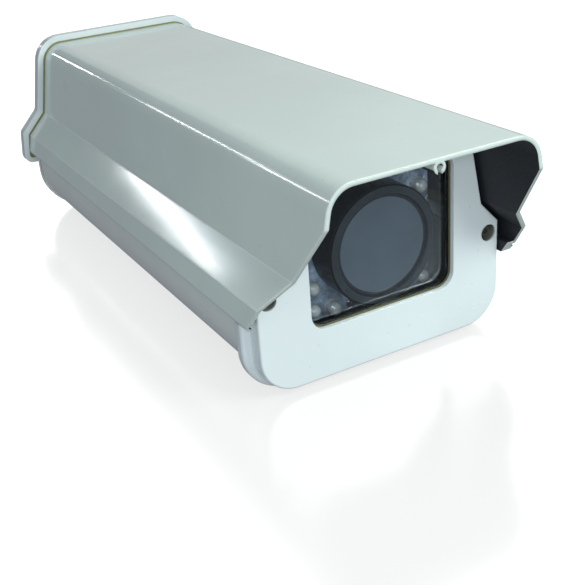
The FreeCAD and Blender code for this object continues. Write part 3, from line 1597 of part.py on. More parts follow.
def focus_ring():
    """The ribbed ring that turns on the barrel."""
    body = new_body("focus_ring", LENS[0], behind(HOOD_END + size("focus_start")), LENS[1])
    inner = size("barrel_radius") + size("ring_play")
    outer = inner + size("focus_thick")
    long = size("focus_length")
    chamfer = size("ring_chamfer")
    profile = new_sketch(body, TOP)
    draw_outline(profile, [
        (inner, 0),
        (outer - chamfer, 0),
        (outer, chamfer),
        (outer, long - chamfer),
        (outer - chamfer, long),
        (inner, long),
    ])
    revolve(body, profile)
    grips = new_sketch(body, FRONT, -size("grip_margin"))
    around = outer + size("grip_out")
    for turn in range(FOCUS_GRIPS):
        angle = as_size(turn * 360 / FOCUS_GRIPS)
        draw_circle(grips, around * angle.cosine(), around * angle.sine(), size("grip_radius"))
    pocket(body, grips, long - size("grip_margin") * 2)


def lens_hood():
    """The black ring round the lens, and the glass seated on its ledge."""
    body = new_body("lens_hood", LENS[0], behind(size("hood_front")), LENS[1])
    edge = size("hood_radius")
    mouth = edge - size("hood_wall")
    ledge = mouth - size("ledge_wide")
    bore = size("barrel_radius") - size("barrel_wall")
    seat = size("glass_recess") + size("lens_glass_thick")
    long = size("hood_length")
    chamfer = size("hood_chamfer")
    bevel = size("hood_bevel")
    profile = new_sketch(body, TOP)
    draw_outline(profile, [
        (mouth + bevel, 0),
        (edge - chamfer, 0),
        (edge, chamfer),
        (edge, long - chamfer),
        (edge - chamfer, long),
        (bore, long),
        (bore, seat + size("ledge_thick")),
        (ledge, seat + size("ledge_thick")),
        (ledge, seat),
        (mouth, seat),
        (mouth, bevel),
    ])
    revolve(body, profile)
    disc = new_body("lens_glass", LENS[0], behind(size("hood_front") + size("glass_recess")), LENS[1])
    circle = new_sketch(disc, FRONT)
    draw_circle(circle, 0, 0, mouth - size("screw_play"))
    pad(disc, circle, size("lens_glass_thick"), back=True)


def lamp_board():
    """The board round the lens, its bracket on the sled and the screws between them."""
    x, z = LENS
    high = size("board_high_half")
    body = new_body("lamp_board", x, BOARD_Y, z)
    outline = new_sketch(body, FRONT)
    draw_outline(outline, box_outline(size("board_half"), -high, high, size("board_corner")))
    draw_circle(outline, 0, 0, size("barrel_radius") + size("board_round_lens"))
    pad(body, outline, size("board_thick"), back=True)
    screws_z = -high + size("board_margin")
    holes = new_sketch(body, FRONT)
    passing = size("small_screw_radius") + size("fit_gap")
    for side in (-1, 1):
        draw_circle(holes, side * size("board_screw_x"), screws_z, passing)
    pocket(body, holes, size("board_thick"))

    foot_low = SLED_TOP - z
    thick = size("bracket_thick")
    top = -size("barrel_radius") - size("bracket_under")
    bracket = new_body("lamp_bracket", x, BOARD_Y + size("board_thick"), z)
    angle = new_sketch(bracket, SIDE)
    draw_outline(angle, [
        (0, foot_low),
        (size("bracket_deep"), foot_low),
        (size("bracket_deep"), foot_low + thick),
        (thick, foot_low + thick),
        (thick, top),
        (0, top),
    ])
    pad(bracket, angle, size("bracket_wide"), both=True)
    taps = new_sketch(bracket, FRONT)
    for side in (-1, 1):
        draw_circle(taps, side * size("board_screw_x"), screws_z, SMALL_TAP)
    pocket(bracket, taps, thick)
    copies("lamp_board_screws", screw("lamp_screw", "small"), [
        (x + side * size("board_screw_x"), BOARD_Y, z + screws_z) for side in (-1, 1)
    ])


def lamps():
    """Infrared lamps in the board's corners, and a pair over the lens."""
    master = new_body("lamp_one")
    radius = size("lamp_radius")
    flange = radius + size("lamp_flange")
    long = size("lamp_length")
    profile = new_sketch(master, TOP)
    draw_outline(profile, [
        (0, 0),
        (flange, 0),
        (flange, -size("lamp_flange_thick")),
        (radius, -size("lamp_flange_thick")),
        (radius, -long, radius * LAMP_DOME),
        (0, -long),
    ])
    revolve(master, profile)
    corner = (
        (size("lamp_side_x"), size("lamp_side_z")),
        (size("lamp_corner_x"), size("lamp_corner_z")),
        (size("lamp_end_x"), size("lamp_end_z")),
    )
    around = [(across * side, up * level) for across, up in corner for side in (-1, 1) for level in (-1, 1)]
    around += [(size("lamp_pair_x") + side * size("lamp_pair_half"), size("lamp_pair_z")) for side in (-1, 1)]
    copies("lamps", master, [(LENS[0] + across, BOARD_Y, LENS[1] + up) for across, up in around])


def terminal_pieces():
    """Supply terminal on its own board, on standoffs over the base land."""
    y = behind(size("terminal_back"))
    land = size("land_thick")
    high = size("standoff_high")
    half = size("terminal_half")
    long = size("terminal_long") / 2
    margin = size("board_margin")
    corners = [(sx * (half - margin), sy * (long - margin)) for sx in (-1, 1) for sy in (-1, 1)]
    shank = size("board_screw_radius")

    standoff = new_body("standoff")
    outline = new_sketch(standoff, TOP)
    draw_circle(outline, 0, 0, size("standoff_radius"))
    pad(standoff, outline, high)
    bore = new_sketch(standoff, TOP, high)
    draw_circle(bore, 0, 0, shank + size("screw_play"))
    pocket(standoff, bore, high - size("standoff_floor"))
    copies("terminal_standoffs", standoff, [(dx, y + dy, land) for dx, dy in corners])

    board = new_body("terminal_board", y=y, z=land + high)
    outline = new_sketch(board, TOP)
    draw_outline(outline, box_outline(half, -long, long, size("terminal_corner")))
    for dx, dy in corners:
        draw_circle(outline, dx, dy, shank + size("fit_gap"))
    pad(board, outline, size("board_thick"))
    top = land + high + size("board_thick")
    master = upright_screw("board_screw", "board", size("board_screw_long"))
    copies("terminal_screws", master, [(dx, y + dy, top) for dx, dy in corners])
    terminal_block(y, top)


def terminal_block(y, seat):
    """The block of screw terminals, with a wire entry under each screw."""
    half = size("block_deep") / 2
    high = size("block_high")
    body = new_body("terminal_block", y=y, z=seat)
    profile = new_sketch(body, SIDE)
    draw_outline(profile, [
        (-half, 0),
        (half, 0),
        (half, size("block_shoulder")),
        (half / 2, high),
        (-half / 2, high),
        (-half, size("block_shoulder")),
    ])
    pad(body, profile, size("block_wide"), both=True)
    ways = new_sketch(body, TOP, high)
    entries = new_sketch(body, FRONT, -half)
    opening = size("entry_half")
    for step in range(TERMINAL_WAYS):
        across = size("way_pitch") * (step - (TERMINAL_WAYS - 1) / 2)
        draw_circle(ways, across, 0, size("way_radius"))
        draw_outline(entries, rect(across - opening, across + opening, size("entry_low"), size("entry_top")))
    pocket(body, ways, size("way_deep"))
    pocket(body, entries, size("entry_deep"), back=True)


NODES = (
    "base_tray", "front_cap", "front_cap_gasket", "front_cap_screws", "window_gasket", "window_glass",
    "window_retainer", "retainer_screws", "rear_plate", "rear_plate_gasket", "rear_plate_screws",
    "gland_bodies", "gland_locknuts", "gland_seals", "gland_caps", "cover_seal",
    "terminal_board", "terminal_block", "terminal_standoffs", "terminal_screws",
    "top_cover", "cover_rear_gasket", "cover_rear_cap", "cover_rear_screws",
    "lock_screw_front", "lock_screw_rear",
    "camera_sled", "sled_lock_screws", "camera_riser", "riser_screws", "camera_body", "video_socket",
    "camera_terminal", "lens_barrel", "lens_hood", "lens_glass", "lamp_board", "lamps", "lamp_bracket",
    "lamp_board_screws", "focus_ring",
)


def build():
    """Make every piece."""
    upper, lower = end_screw_spots()
    base_tray()
    cover_seal()
    front_cap()
    window_pieces()
    window_retainer()
    end_gasket("front_cap_gasket", FACE_Y + size("cap_depth"), upper)
    end_gasket("rear_plate_gasket", TRAY_END, upper + lower)
    rear_plate()
    glands()
    top_cover()
    cover_rear_gasket()
    cover_rear_cap()
    fixings()
    lock_screw("lock_screw_front", LOCK_YS[0])
    lock_screw("lock_screw_rear", LOCK_YS[1])
    camera_sled()
    sled_fixings()
    camera_riser()
    camera_body()
    camera_sockets()
    lens_barrel()
    focus_ring()
    lens_hood()
    lamp_board()
    lamps()
    terminal_pieces()
    doc.recompute()


def check():
    """Stop if anything failed to build, or a cut took nothing away."""
    for thing in doc.Objects:
        if "Invalid" in thing.State or "Error" in thing.State:
            raise RuntimeError(f"{thing.Name} failed: {thing.State}")
        if thing.TypeId in ("PartDesign::Pocket", "PartDesign::Groove"):
            if thing.BaseFeature.Shape.Volume - thing.Shape.Volume < 1e-4:
                raise RuntimeError(f"{thing.Name} cuts nothing")
    for name in NODES:
        shape = doc.getObject(name).Shape
        if shape.isNull() or not shape.isValid():
            raise RuntimeError(f"{name} has no valid shape")


def write():
    """Write each node to its own file."""
    os.makedirs("parts", exist_ok=True)
    for name in NODES:
        doc.getObject(name).Shape.exportStep(f"parts/{name}.step")


build()
check()
write()
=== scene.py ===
import math
import random

import bmesh
import bpy
from mathutils import Matrix, Quaternion, Vector


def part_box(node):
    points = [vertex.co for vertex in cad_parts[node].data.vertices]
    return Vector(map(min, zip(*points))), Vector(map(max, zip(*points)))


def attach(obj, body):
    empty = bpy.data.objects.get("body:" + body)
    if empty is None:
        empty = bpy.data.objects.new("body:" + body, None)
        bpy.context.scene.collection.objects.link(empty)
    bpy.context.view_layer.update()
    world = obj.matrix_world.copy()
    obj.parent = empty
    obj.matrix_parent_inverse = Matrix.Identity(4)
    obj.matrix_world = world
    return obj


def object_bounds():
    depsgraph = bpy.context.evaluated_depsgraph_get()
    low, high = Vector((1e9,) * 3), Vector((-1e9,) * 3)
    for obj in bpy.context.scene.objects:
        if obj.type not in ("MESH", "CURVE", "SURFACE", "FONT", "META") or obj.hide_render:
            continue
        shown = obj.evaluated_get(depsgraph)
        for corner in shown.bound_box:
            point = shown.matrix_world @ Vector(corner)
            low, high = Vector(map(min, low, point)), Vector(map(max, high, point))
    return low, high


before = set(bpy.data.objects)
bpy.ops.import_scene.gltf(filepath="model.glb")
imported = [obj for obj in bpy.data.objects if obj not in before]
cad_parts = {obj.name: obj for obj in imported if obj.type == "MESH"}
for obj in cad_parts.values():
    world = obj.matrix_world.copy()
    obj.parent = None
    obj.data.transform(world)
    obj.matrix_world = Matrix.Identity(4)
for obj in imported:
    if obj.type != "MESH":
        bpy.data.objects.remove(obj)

bl_info = {
    "name": "Camera housing finish",
    "version": (1, 0, 0),
    "blender": (4, 5, 0),
    "location": "View3D > Sidebar > Housing",
    "description": "Paint, rubber, glass and small parts of an outdoor camera housing",
    "category": "Object",
}

CAD_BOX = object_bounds()
MM = 0.001
SEED = 41
SECTION_MIDDLE = 62 * MM
TABLE_GAP = 0.2 * MM
SHARP_ANGLE = math.radians(35)
WHITE = (1.0, 1.0, 1.0)

# Depths of the finest surface relief.
PAINT_SKIN = 0.03 * MM
RUBBER_GRAIN = 0.06 * MM
PLASTIC_SPARK = 0.04 * MM
METAL_LINES = 0.02 * MM
BOARD_COAT = 0.15 * MM

# Tones that come on top of a finish's own colour.
GRIME = (0.30, 0.30, 0.24)
COVER_GRIME = (0.28, 0.28, 0.22)
# Painted highlight along the cover's folds and cut edges.
EDGE_HIGHLIGHT = (0.95, 0.98, 0.96)
# Painted shade down in the window cap's screw recesses.
RECESS_SHADE = (0.13, 0.14, 0.11)
# Painted highlight along the lens plastic's edges.
LENS_EDGE_HIGHLIGHT = (0.10, 0.11, 0.12)
GLASS_DUST = (0.40, 0.42, 0.44)
# Painted shade round the filter's edge.
GLASS_EDGE_SHADE = (0.012, 0.014, 0.020)


# Sizes and colours that a user would change.

class HousingColours(bpy.types.PropertyGroup):
    """Colours of the housing's finishes."""

    cover: bpy.props.FloatVectorProperty(
        name="Cover paint", description="Gloss paint of the cover's outside", subtype="COLOR", size=3,
        default=(0.63, 0.74, 0.70), min=0, max=1,
    )
    inside: bpy.props.FloatVectorProperty(
        name="Inside coat", description="Dark coat on the cover's inside", subtype="COLOR", size=3,
        default=(0.012, 0.014, 0.019), min=0, max=1,
    )
    cap: bpy.props.FloatVectorProperty(
        name="Cap paint", description="Gloss paint of the two cast caps", subtype="COLOR", size=3,
        default=(0.69, 0.78, 0.80), min=0, max=1,
    )
    tray: bpy.props.FloatVectorProperty(
        name="Tray paint", description="Gloss paint of the tray", subtype="COLOR", size=3,
        default=(0.70, 0.77, 0.76), min=0, max=1,
    )
    seam: bpy.props.FloatVectorProperty(
        name="Seam rubber", description="Rubber in the seams", subtype="COLOR", size=3,
        default=(0.21, 0.215, 0.09), min=0, max=1,
    )
    filter: bpy.props.FloatVectorProperty(
        name="Filter glass", description="Grey-blue filter before the lens", subtype="COLOR", size=3,
        default=(0.108, 0.136, 0.168), min=0, max=1,
    )
    board: bpy.props.FloatVectorProperty(
        name="Lamp board", description="Coat of the board round the lens", subtype="COLOR", size=3,
        default=(0.34, 0.41, 0.53), min=0, max=1,
    )


class SmallSizes(bpy.types.PropertyGroup):
    """Sizes of the small parts that the frame carries."""

    cup_depth: bpy.props.FloatProperty(
        name="Lamp cup", description="Depth of the bright cup inside a lamp",
        default=1.1 * MM, unit="LENGTH", min=0.0002, max=0.003,
    )
    chip_length: bpy.props.FloatProperty(
        name="Chip length", description="Length of a chip resistor on the lamp board",
        default=2.4 * MM, unit="LENGTH", min=0.001, max=0.006,
    )
    clamp_radius: bpy.props.FloatProperty(
        name="Clamp screw", description="Radius of a clamp screw in the terminal block",
        default=1.7 * MM, unit="LENGTH", min=0.0005, max=0.0018,
    )


class PhotoView(bpy.types.PropertyGroup):
    """Where the camera stands and how it is turned."""

    azimuth: bpy.props.FloatProperty(
        name="Azimuth", description="Camera's bearing round the housing from its front, to the right",
        default=math.radians(-27.48), subtype="ANGLE",
    )
    elevation: bpy.props.FloatProperty(
        name="Elevation", description="Camera's height angle over the housing",
        default=math.radians(26.04), subtype="ANGLE",
    )
    roll: bpy.props.FloatProperty(
        name="Roll", description="Turn of the camera about its own line of sight",
        default=math.radians(-4.67), subtype="ANGLE",
    )
    place: bpy.props.FloatVectorProperty(
        name="Place", description="Where the camera stands", subtype="XYZ", unit="LENGTH", size=3,
        default=(-0.2267, -0.4751, 0.2365),
    )
    lens: bpy.props.FloatProperty(
        name="Lens", description="Focal length on a 36 mm sensor, in millimetres", default=60.23, min=20,
    )


# Shader maths: a value that takes part in Python arithmetic, and a material that adds nodes.

class Value:
    """An output socket that adds a Math node for each operator used on it."""

    def __init__(self, finish, socket):
        self.finish = finish
        self.socket = socket

    def math(self, operation, *others):
        inputs = dict(enumerate((self,) + others))
        return self.finish.node("ShaderNodeMath", {"operation": operation}, inputs)

    def __add__(self, other):
        return self.math("ADD", other)

    def __mul__(self, other):
        return self.math("MULTIPLY", other)

    def __sub__(self, other):
        return self.math("SUBTRACT", other)

    def __rsub__(self, other):
        return (self * -1) + other

    __radd__ = __add__
    __rmul__ = __mul__

    def step(self, low, high):
        """Rise smoothly from 0 at low to 1 at high."""
        settings = {"interpolation_type": "SMOOTHSTEP"}
        inputs = {"Value": self, "From Min": low, "From Max": high, "To Min": 0.0, "To Max": 1.0}
        return self.finish.node("ShaderNodeMapRange", settings, inputs)


class Finish:
    """A material whose nodes all come from one method."""

    def __init__(self, name, **uniform):
        self.material = bpy.data.materials.new(name)
        self.material.use_nodes = True
        self.tree = self.material.node_tree
        self.tree.nodes.clear()
        self.shader = self.node("ShaderNodeBsdfPrincipled", inputs=uniform)
        self.output = self.tree.nodes.new("ShaderNodeOutputMaterial")
        self.surface(self.shader)
        self.place = self.node("ShaderNodeTexCoord", output="Object")

    def node(self, kind, settings=None, inputs=None, output=0):
        """Add a node with its settings, then its inputs, and give one of its outputs."""
        node = self.tree.nodes.new(kind)
        for name, setting in (settings or {}).items():
            setattr(node, name, setting)
        for name, given in (inputs or {}).items():
            self.feed(node.inputs[name], given)
        return Value(self, node.outputs[output])

    def feed(self, socket, given):
        """Link a value to a socket, or set the socket's own number or colour."""
        if isinstance(given, Value):
            self.tree.links.new(given.socket, socket)
        elif socket.type == "RGBA":
            socket.default_value = tuple(given)[:3] + (1.0,)
        else:
            socket.default_value = given

    def set(self, **inputs):
        """Feed sockets of the main shader, named with underscores for spaces."""
        for name, given in inputs.items():
            self.feed(self.shader.socket.node.inputs[name.replace("_", " ")], given)

    def surface(self, shader):
        """Send a shader to the material's output."""
        self.tree.links.new(shader.socket, self.output.inputs["Surface"])

    def mix(self, mask, low, high):
        """Blend two colours by a mask."""
        return self.node("ShaderNodeMix", {"data_type": "RGBA"}, {0: mask, 6: low, 7: high}, output=2)

    def vector(self, operation, *vectors, output="Vector"):
        """Combine vectors with a Vector Math node."""
        return self.node("ShaderNodeVectorMath", {"operation": operation}, dict(enumerate(vectors)), output)

    def stretched(self, x, y, z):
        """Object coordinates scaled along each axis."""
        return self.vector("MULTIPLY", self.place, (x, y, z))

    def noise(self, scale, detail=2.0, rough=0.5, where=None):
        """Noise from 0 to 1 over the object's own coordinates, in features per metre."""
        inputs = {"Vector": where or self.place, "Scale": scale, "Detail": detail, "Roughness": rough}
        return self.node("ShaderNodeTexNoise", inputs=inputs)

    def axis(self, name, vector=None):
        """One coordinate of a vector."""
        return self.node("ShaderNodeSeparateXYZ", inputs={0: vector or self.place}, output=name)

    def facing(self):
        """The surface's own direction, in the object's axes."""
        return self.node("ShaderNodeTexCoord", output="Normal")

    def from_line(self, x, z):
        """Vector from a line along Y to the surface, square to that line."""
        return self.vector("MULTIPLY", self.vector("SUBTRACT", self.place, (x, 0.0, z)), (1.0, 0.0, 1.0))

    def off_axis(self, middle):
        """Distance from a line along Y through a point."""
        return self.vector("LENGTH", self.from_line(middle.x, middle.z), output="Value")

    def rounded(self, radius):
        """The surface's direction with its edges rounded by a radius."""
        return self.node("ShaderNodeBevel", {"samples": 6}, {"Radius": radius})

    def edge(self, radius):
        """Mask that rises where the surface turns sharply within a radius."""
        flat = self.node("ShaderNodeNewGeometry", output="Normal")
        along = self.vector("DOT_PRODUCT", self.rounded(radius), flat, output="Value")
        return 1 - along.step(0.975, 0.998)

    def bump(self, height, depth, soft=0.0):
        """Feed the shader's normal with a bump of that depth, over edges rounded by a soft radius."""
        inputs = {"Height": height, "Distance": depth}
        if soft:
            inputs["Normal"] = self.rounded(soft)
        self.set(Normal=self.node("ShaderNodeBump", inputs=inputs))


def shade(colour, factor):
    """A colour made lighter or darker."""
    return tuple(min(1.0, channel * factor) for channel in colour)


def wear(node, finish):
    """Give a CAD node's slots one finish."""
    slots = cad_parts[node].data.materials
    if not slots:
        slots.append(finish.material)
    for index in range(len(slots)):
        slots[index] = finish.material


# Finishes.

def gloss_paint(name, colour, peel=1.0, painted_shade=None):
    """Sprayed gloss paint: slight orange peel, drift in tone, dust nibs and rubbed patches."""
    paint = Finish(name, **{"IOR": 1.5, "Coat Roughness": 0.07})
    drift = paint.noise(14, 4)
    tone = paint.mix(drift.step(0.35, 0.65), shade(colour, 0.96), shade(colour, 1.03))
    nib = paint.noise(420, 1).step(0.74, 0.79)
    grime = paint.noise(55, 6, 0.65).step(0.60, 0.80)
    tone = paint.mix(nib * 0.35, tone, shade(colour, 0.72))
    tone = paint.mix(grime * 0.10, tone, GRIME)
    # An optional mask adds painted shade, as in the window cap's screw recesses.
    if painted_shade:
        tone = paint.mix(painted_shade(paint), tone, RECESS_SHADE)
    rub = paint.noise(38, 5, 0.6)
    skin = paint.noise(620, 2)
    paint.set(
        Base_Color=tone,
        Roughness=rub * 0.16 + 0.16 + grime * 0.12,
        Coat_Weight=0.55 - grime * 0.3,
    )
    paint.bump(skin * peel + nib * 1.2, PAINT_SKIN, soft=0.5 * MM)
    return paint


def recess_shade(paint):
    """Mask of painted shade down in the window cap's two screw recesses."""
    hole, rim = 4.3 * MM, 4.6 * MM
    recess = 0.0
    for low, high in islands("front_cap_screws"):
        recess = (1 - paint.off_axis((low + high) / 2).step(hole, rim)) + recess
    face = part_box("front_cap")[0].y
    deep = paint.axis("Y").step(face + 0.3 * MM, face + 2.5 * MM)
    return recess * (deep * 0.25 + 0.7) * deep.step(0.0, 0.2)


def cover_paint(colours):
    """The cover's gloss paint outside, with drawing lines along it, and near-black faces inside."""
    colour = colours.cover
    paint = Finish("cover_paint", **{"IOR": 1.5, "Coat Roughness": 0.08})
    drift = paint.noise(11, 4)
    tone = paint.mix(drift.step(0.35, 0.65), shade(colour, 0.965), shade(colour, 1.03))
    nib = paint.noise(380, 1).step(0.75, 0.80)
    grime = paint.noise(48, 6, 0.65).step(0.62, 0.82)
    tone = paint.mix(nib * 0.35, tone, shade(colour, 0.70))
    tone = paint.mix(grime * 0.10, tone, COVER_GRIME)

    # Painted highlight: the paint is paled along the folds and cut edges.
    edge_highlight = paint.edge(0.8 * MM) * (paint.noise(25, 3).step(0.3, 0.6) * 0.4 + 0.6)
    tone = paint.mix(edge_highlight, tone, EDGE_HIGHLIGHT)
    facing = paint.facing()
    # Painted shade: the end faces, which look along the housing, are darkened.
    end = paint.axis("Y", facing).math("ABSOLUTE").step(0.5, 0.8)
    tone = paint.mix(end * 0.8, tone, shade(colour, 0.80))

    # Faces that look towards the middle of the section are the inside.
    outward = paint.vector("DOT_PRODUCT", facing, paint.from_line(0.0, SECTION_MIDDLE), output="Value")
    inside = (1 - outward.step(-12 * MM, -4 * MM)) * (1 - end)
    fleck = paint.noise(1500, 2, 0.7).step(0.52, 0.78)
    dark = paint.mix(fleck, colours.inside, shade(colours.inside, 2.6))
    paint.set(
        Base_Color=paint.mix(inside, tone, dark),
        Roughness=paint.noise(30, 5) * 0.08 + 0.07 + inside * 0.55,
        Coat_Weight=(1 - inside) * 0.1,
    )

    # The extrusion is slightly wavy, with drawing lines and brush marks under the paint.
    wave = paint.noise(9, 2, where=paint.stretched(1.0, 0.5, 1.0)) * 12
    brushed = paint.noise(150, 3, where=paint.stretched(1.0, 0.25, 1.0)) * 0.6
    lines = paint.noise(900, 2, where=paint.stretched(1.0, 0.012, 1.0)) * 0.14
    skin = lines + paint.noise(600, 2) * 0.16 + inside * fleck * 2
    paint.bump(skin + wave + brushed, PAINT_SKIN, soft=1.5 * MM)
    return paint


def rubber(name, colour, sheen=0.5):
    """Moulded rubber with a fine grain and chalky patches."""
    skin = Finish(name, IOR=1.45)
    grain = skin.noise(1400, 3, 0.7)
    chalk = skin.noise(70, 5, 0.6).step(0.5, 0.8)
    tone = skin.mix(grain.step(0.3, 0.7), shade(colour, 0.8), shade(colour, 1.15))
    skin.set(Base_Color=skin.mix(chalk * 0.3, tone, shade(colour, 1.7)), Roughness=chalk * 0.2 + sheen)
    skin.bump(grain, RUBBER_GRAIN)
    return skin


def spark_skin(shell, rough):
    """Give a moulded shell its fine spark texture."""
    spark = shell.noise(1900, 2, 0.6)
    shell.set(Roughness=spark * 0.14 + (rough - 0.07))
    shell.bump(spark, PLASTIC_SPARK)


def plastic(name, colour, rough=0.42):
    """Moulded plastic: fine spark texture and drift in tone."""
    shell = Finish(name, IOR=1.46)
    patch = shell.noise(45, 4).step(0.35, 0.7)
    shell.set(Base_Color=shell.mix(patch, shade(colour, 0.9), shade(colour, 1.12)))
    spark_skin(shell, rough)
    return shell


def lens_plastic():
    """Black plastic of the lens: painted light makes the faces that look to the front greyer, and a painted
    highlight makes its edges paler.
    """
    shell = Finish("lens_black", IOR=1.16)
    patch = shell.noise(45, 4).step(0.35, 0.7)
    # Painted light: faces that look to the front get a lit grey, the rest a near-black shaded tone.
    side = shell.mix(patch, (0.0036, 0.0045, 0.0063), (0.0045, 0.0056, 0.0078))
    face = shell.mix(patch, (0.038, 0.046, 0.052), (0.047, 0.057, 0.064))
    lit_front_mask = (shell.axis("Y", shell.facing()) * -1).step(0.9, 0.98)
    tone = shell.mix(lit_front_mask, side, face)
    # Painted highlight: the edges are paled towards a grey.
    shell.set(Base_Color=shell.mix(shell.edge(0.25 * MM) * 0.5, tone, LENS_EDGE_HIGHLIGHT))
    spark_skin(shell, 0.20)
    return shell


def metal(name, colour, rough=0.3, along=(1.0, 0.03, 1.0), grain=1400):
    """Bare or plated metal with fine lines along one way and faint tarnish."""
    skin = Finish(name, Metallic=1.0)
    lines = skin.noise(grain, 3, 0.6, where=skin.stretched(*along))
    tarnish = skin.noise(80, 5, 0.6).step(0.5, 0.85)
    tone = skin.mix(lines.step(0.3, 0.7), shade(colour, 0.85), shade(colour, 1.08))
    tone = skin.mix(tarnish * 0.35, tone, shade(colour, 0.55))
    skin.set(Base_Color=tone, Roughness=lines * 0.16 + (rough - 0.08) + tarnish * 0.15)
    skin.bump(lines, METAL_LINES)
    return skin


def clear_pane():
    """Flat window glass: almost clear, with a fresnel gloss, faint dust and wipe marks."""
    pane = Finish("window_clear", **{"Base Color": (0.94, 0.97, 1.0), "Metallic": 1.0})
    dust = pane.noise(1300, 2, 0.7).step(0.70, 0.82)
    wipe = pane.noise(60, 4, where=pane.stretched(1.0, 1.0, 0.25)).step(0.55, 0.9)
    pane.set(Roughness=wipe * 0.10 + dust * 0.3 + 0.02)
    through = pane.node("ShaderNodeBsdfTransparent", inputs={"Color": (0.93, 0.96, 0.97)})
    gloss = pane.node("ShaderNodeFresnel", inputs={"IOR": 1.45})
    share = gloss * 0.5 + dust * 0.03 + wipe * 0.008
    pane.surface(pane.node("ShaderNodeMixShader", inputs={0: share, 1: through, 2: pane.shader}))
    return pane


def filter_glass(colour):
    """The grey-blue filter: a flat coated disc with a faint cloud, fine dust and painted shade darkening
    its edge.
    """
    disc = Finish("lens_clear", **{"IOR": 1.52, "Coat Weight": 1.0, "Coat Roughness": 0.03})
    cloud = disc.noise(45, 3)
    tone = disc.mix(cloud.step(0.3, 0.7), shade(colour, 0.93), shade(colour, 1.08))
    dust = disc.noise(1600, 2, 0.7).step(0.72, 0.82)
    tone = disc.mix(dust * 0.4, tone, GLASS_DUST)
    low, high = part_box("lens_glass")
    radius = (high.x - low.x) / 2
    # Painted shade: a near-black ring round the disc's edge.
    edge_shade = disc.off_axis((low + high) / 2).step(radius - 1.7 * MM, radius - 1.2 * MM)
    disc.set(Base_Color=disc.mix(edge_shade, tone, GLASS_EDGE_SHADE), Roughness=dust * 0.3 + 0.22)
    return disc


def lamp_resin():
    """Clear resin of the small lamps, milky in patches."""
    resin = Finish("lamp_clear", **{"IOR": 1.5, "Transmission Weight": 0.4})
    milk = resin.noise(500, 2)
    tone = resin.mix(milk, (0.80, 0.86, 0.86), (0.97, 0.98, 0.98))
    resin.set(Base_Color=tone, Roughness=milk * 0.08 + 0.04)
    return resin


def circuit_board(name, colour, track):
    """Coated circuit board with tracks under the coat, a mottled gloss and painted glints in slanted
    streaks.
    """
    board = Finish(name, **{"IOR": 1.5, "Coat Roughness": 0.12})
    cell = board.node(
        "ShaderNodeTexVoronoi", {"feature": "DISTANCE_TO_EDGE"},
        {"Vector": board.place, "Scale": 260.0, "Randomness": 0.35},
    )
    tracks = 1 - cell.step(0.03, 0.07)
    cloud = board.noise(110, 5, 0.65)
    slant = board.node(
        "ShaderNodeMapping", {"vector_type": "TEXTURE"},
        {"Vector": board.place, "Rotation": (0.0, math.radians(-40), 0.0), "Scale": (3.0, 1.0, 1.0)},
    )
    # Painted glints: slanted streaks made much paler than the board.
    painted_glint = board.noise(330, 3, 0.6, where=slant).step(0.64, 0.68)
    tone = board.mix(cloud.step(0.35, 0.68), shade(colour, 0.5), shade(colour, 1.6))
    tone = board.mix(painted_glint * 0.8, tone, shade(colour, 2.6))
    board.set(
        Base_Color=board.mix(tracks * 0.2, tone, track),
        Roughness=cloud * 0.3 + 0.2,
        Coat_Weight=cloud * 0.5 + 0.2,
    )
    board.bump(tracks * 0.5 + cloud * 1.5, BOARD_COAT)
    return board


# Meshes.

def new_piece(name, mesh, body, finish):
    """Make a smooth mesh piece that rides on a body and wears a finish."""
    data = bpy.data.meshes.new(name)
    bmesh.ops.recalc_face_normals(mesh, faces=mesh.faces)
    mesh.to_mesh(data)
    mesh.free()
    for face in data.polygons:
        face.use_smooth = True
    data.set_sharp_from_angle(angle=SHARP_ANGLE)
    data.materials.append(finish.material)
    piece = bpy.data.objects.new(name, data)
    bpy.context.scene.collection.objects.link(piece)
    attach(piece, body)


def add_turned(mesh, profile, origin, axis, steps=20):
    """Add a closed turned form: a profile of (radius, height) pairs about an axis through origin."""
    turn = Vector((0, 0, 1)).rotation_difference(Vector(axis)).to_matrix()
    rings = []
    for radius, height in profile:
        ring = []
        # A ring with no radius is one point on the axis.
        for step in range(steps if radius else 1):
            angle = math.tau * step / steps
            spot = Vector((radius * math.cos(angle), radius * math.sin(angle), height))
            ring.append(mesh.verts.new(origin + turn @ spot))
        rings.append(ring)
    for first, second in zip(rings, rings[1:]):
        for step in range(steps):
            after = (step + 1) % steps
            corners = [first[step % len(first)], first[after % len(first)]]
            corners += [second[after % len(second)], second[step % len(second)]]
            unique = list(dict.fromkeys(corners))
            if len(unique) > 2:
                mesh.faces.new(unique)


def add_block(mesh, low, high, round_off):
    """Add a box between two corners with its edges rounded."""
    made = bmesh.ops.create_cube(mesh, size=1.0)["verts"]
    size = high - low
    for vert in made:
        vert.co = low + Vector((vert.co[i] + 0.5) * size[i] for i in range(3))
    edges = list({edge for vert in made for edge in vert.link_edges})
    bmesh.ops.bevel(mesh, geom=edges, offset=round_off, segments=2, profile=0.5, affect="EDGES")


def islands(node):
    """Boxes of the separate solids in a CAD node, as pairs of low and high corners, in order."""
    mesh = bmesh.new()
    mesh.from_mesh(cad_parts[node].data)
    bmesh.ops.remove_doubles(mesh, verts=mesh.verts, dist=1e-6)
    left = set(mesh.verts)
    boxes = []
    while left:
        reached = {left.pop()}
        front = list(reached)
        while front:
            vert = front.pop()
            for edge in vert.link_edges:
                other = edge.other_vert(vert)
                if other not in reached:
                    reached.add(other)
                    front.append(other)
        left -= reached
        low = Vector(min(vert.co[i] for vert in reached) for i in range(3))
        high = Vector(max(vert.co[i] for vert in reached) for i in range(3))
        boxes.append((low, high))
    mesh.free()
    return sorted(boxes, key=lambda box: tuple(round(value, 5) for value in box[0]))


# One operator for each piece or group of like pieces.

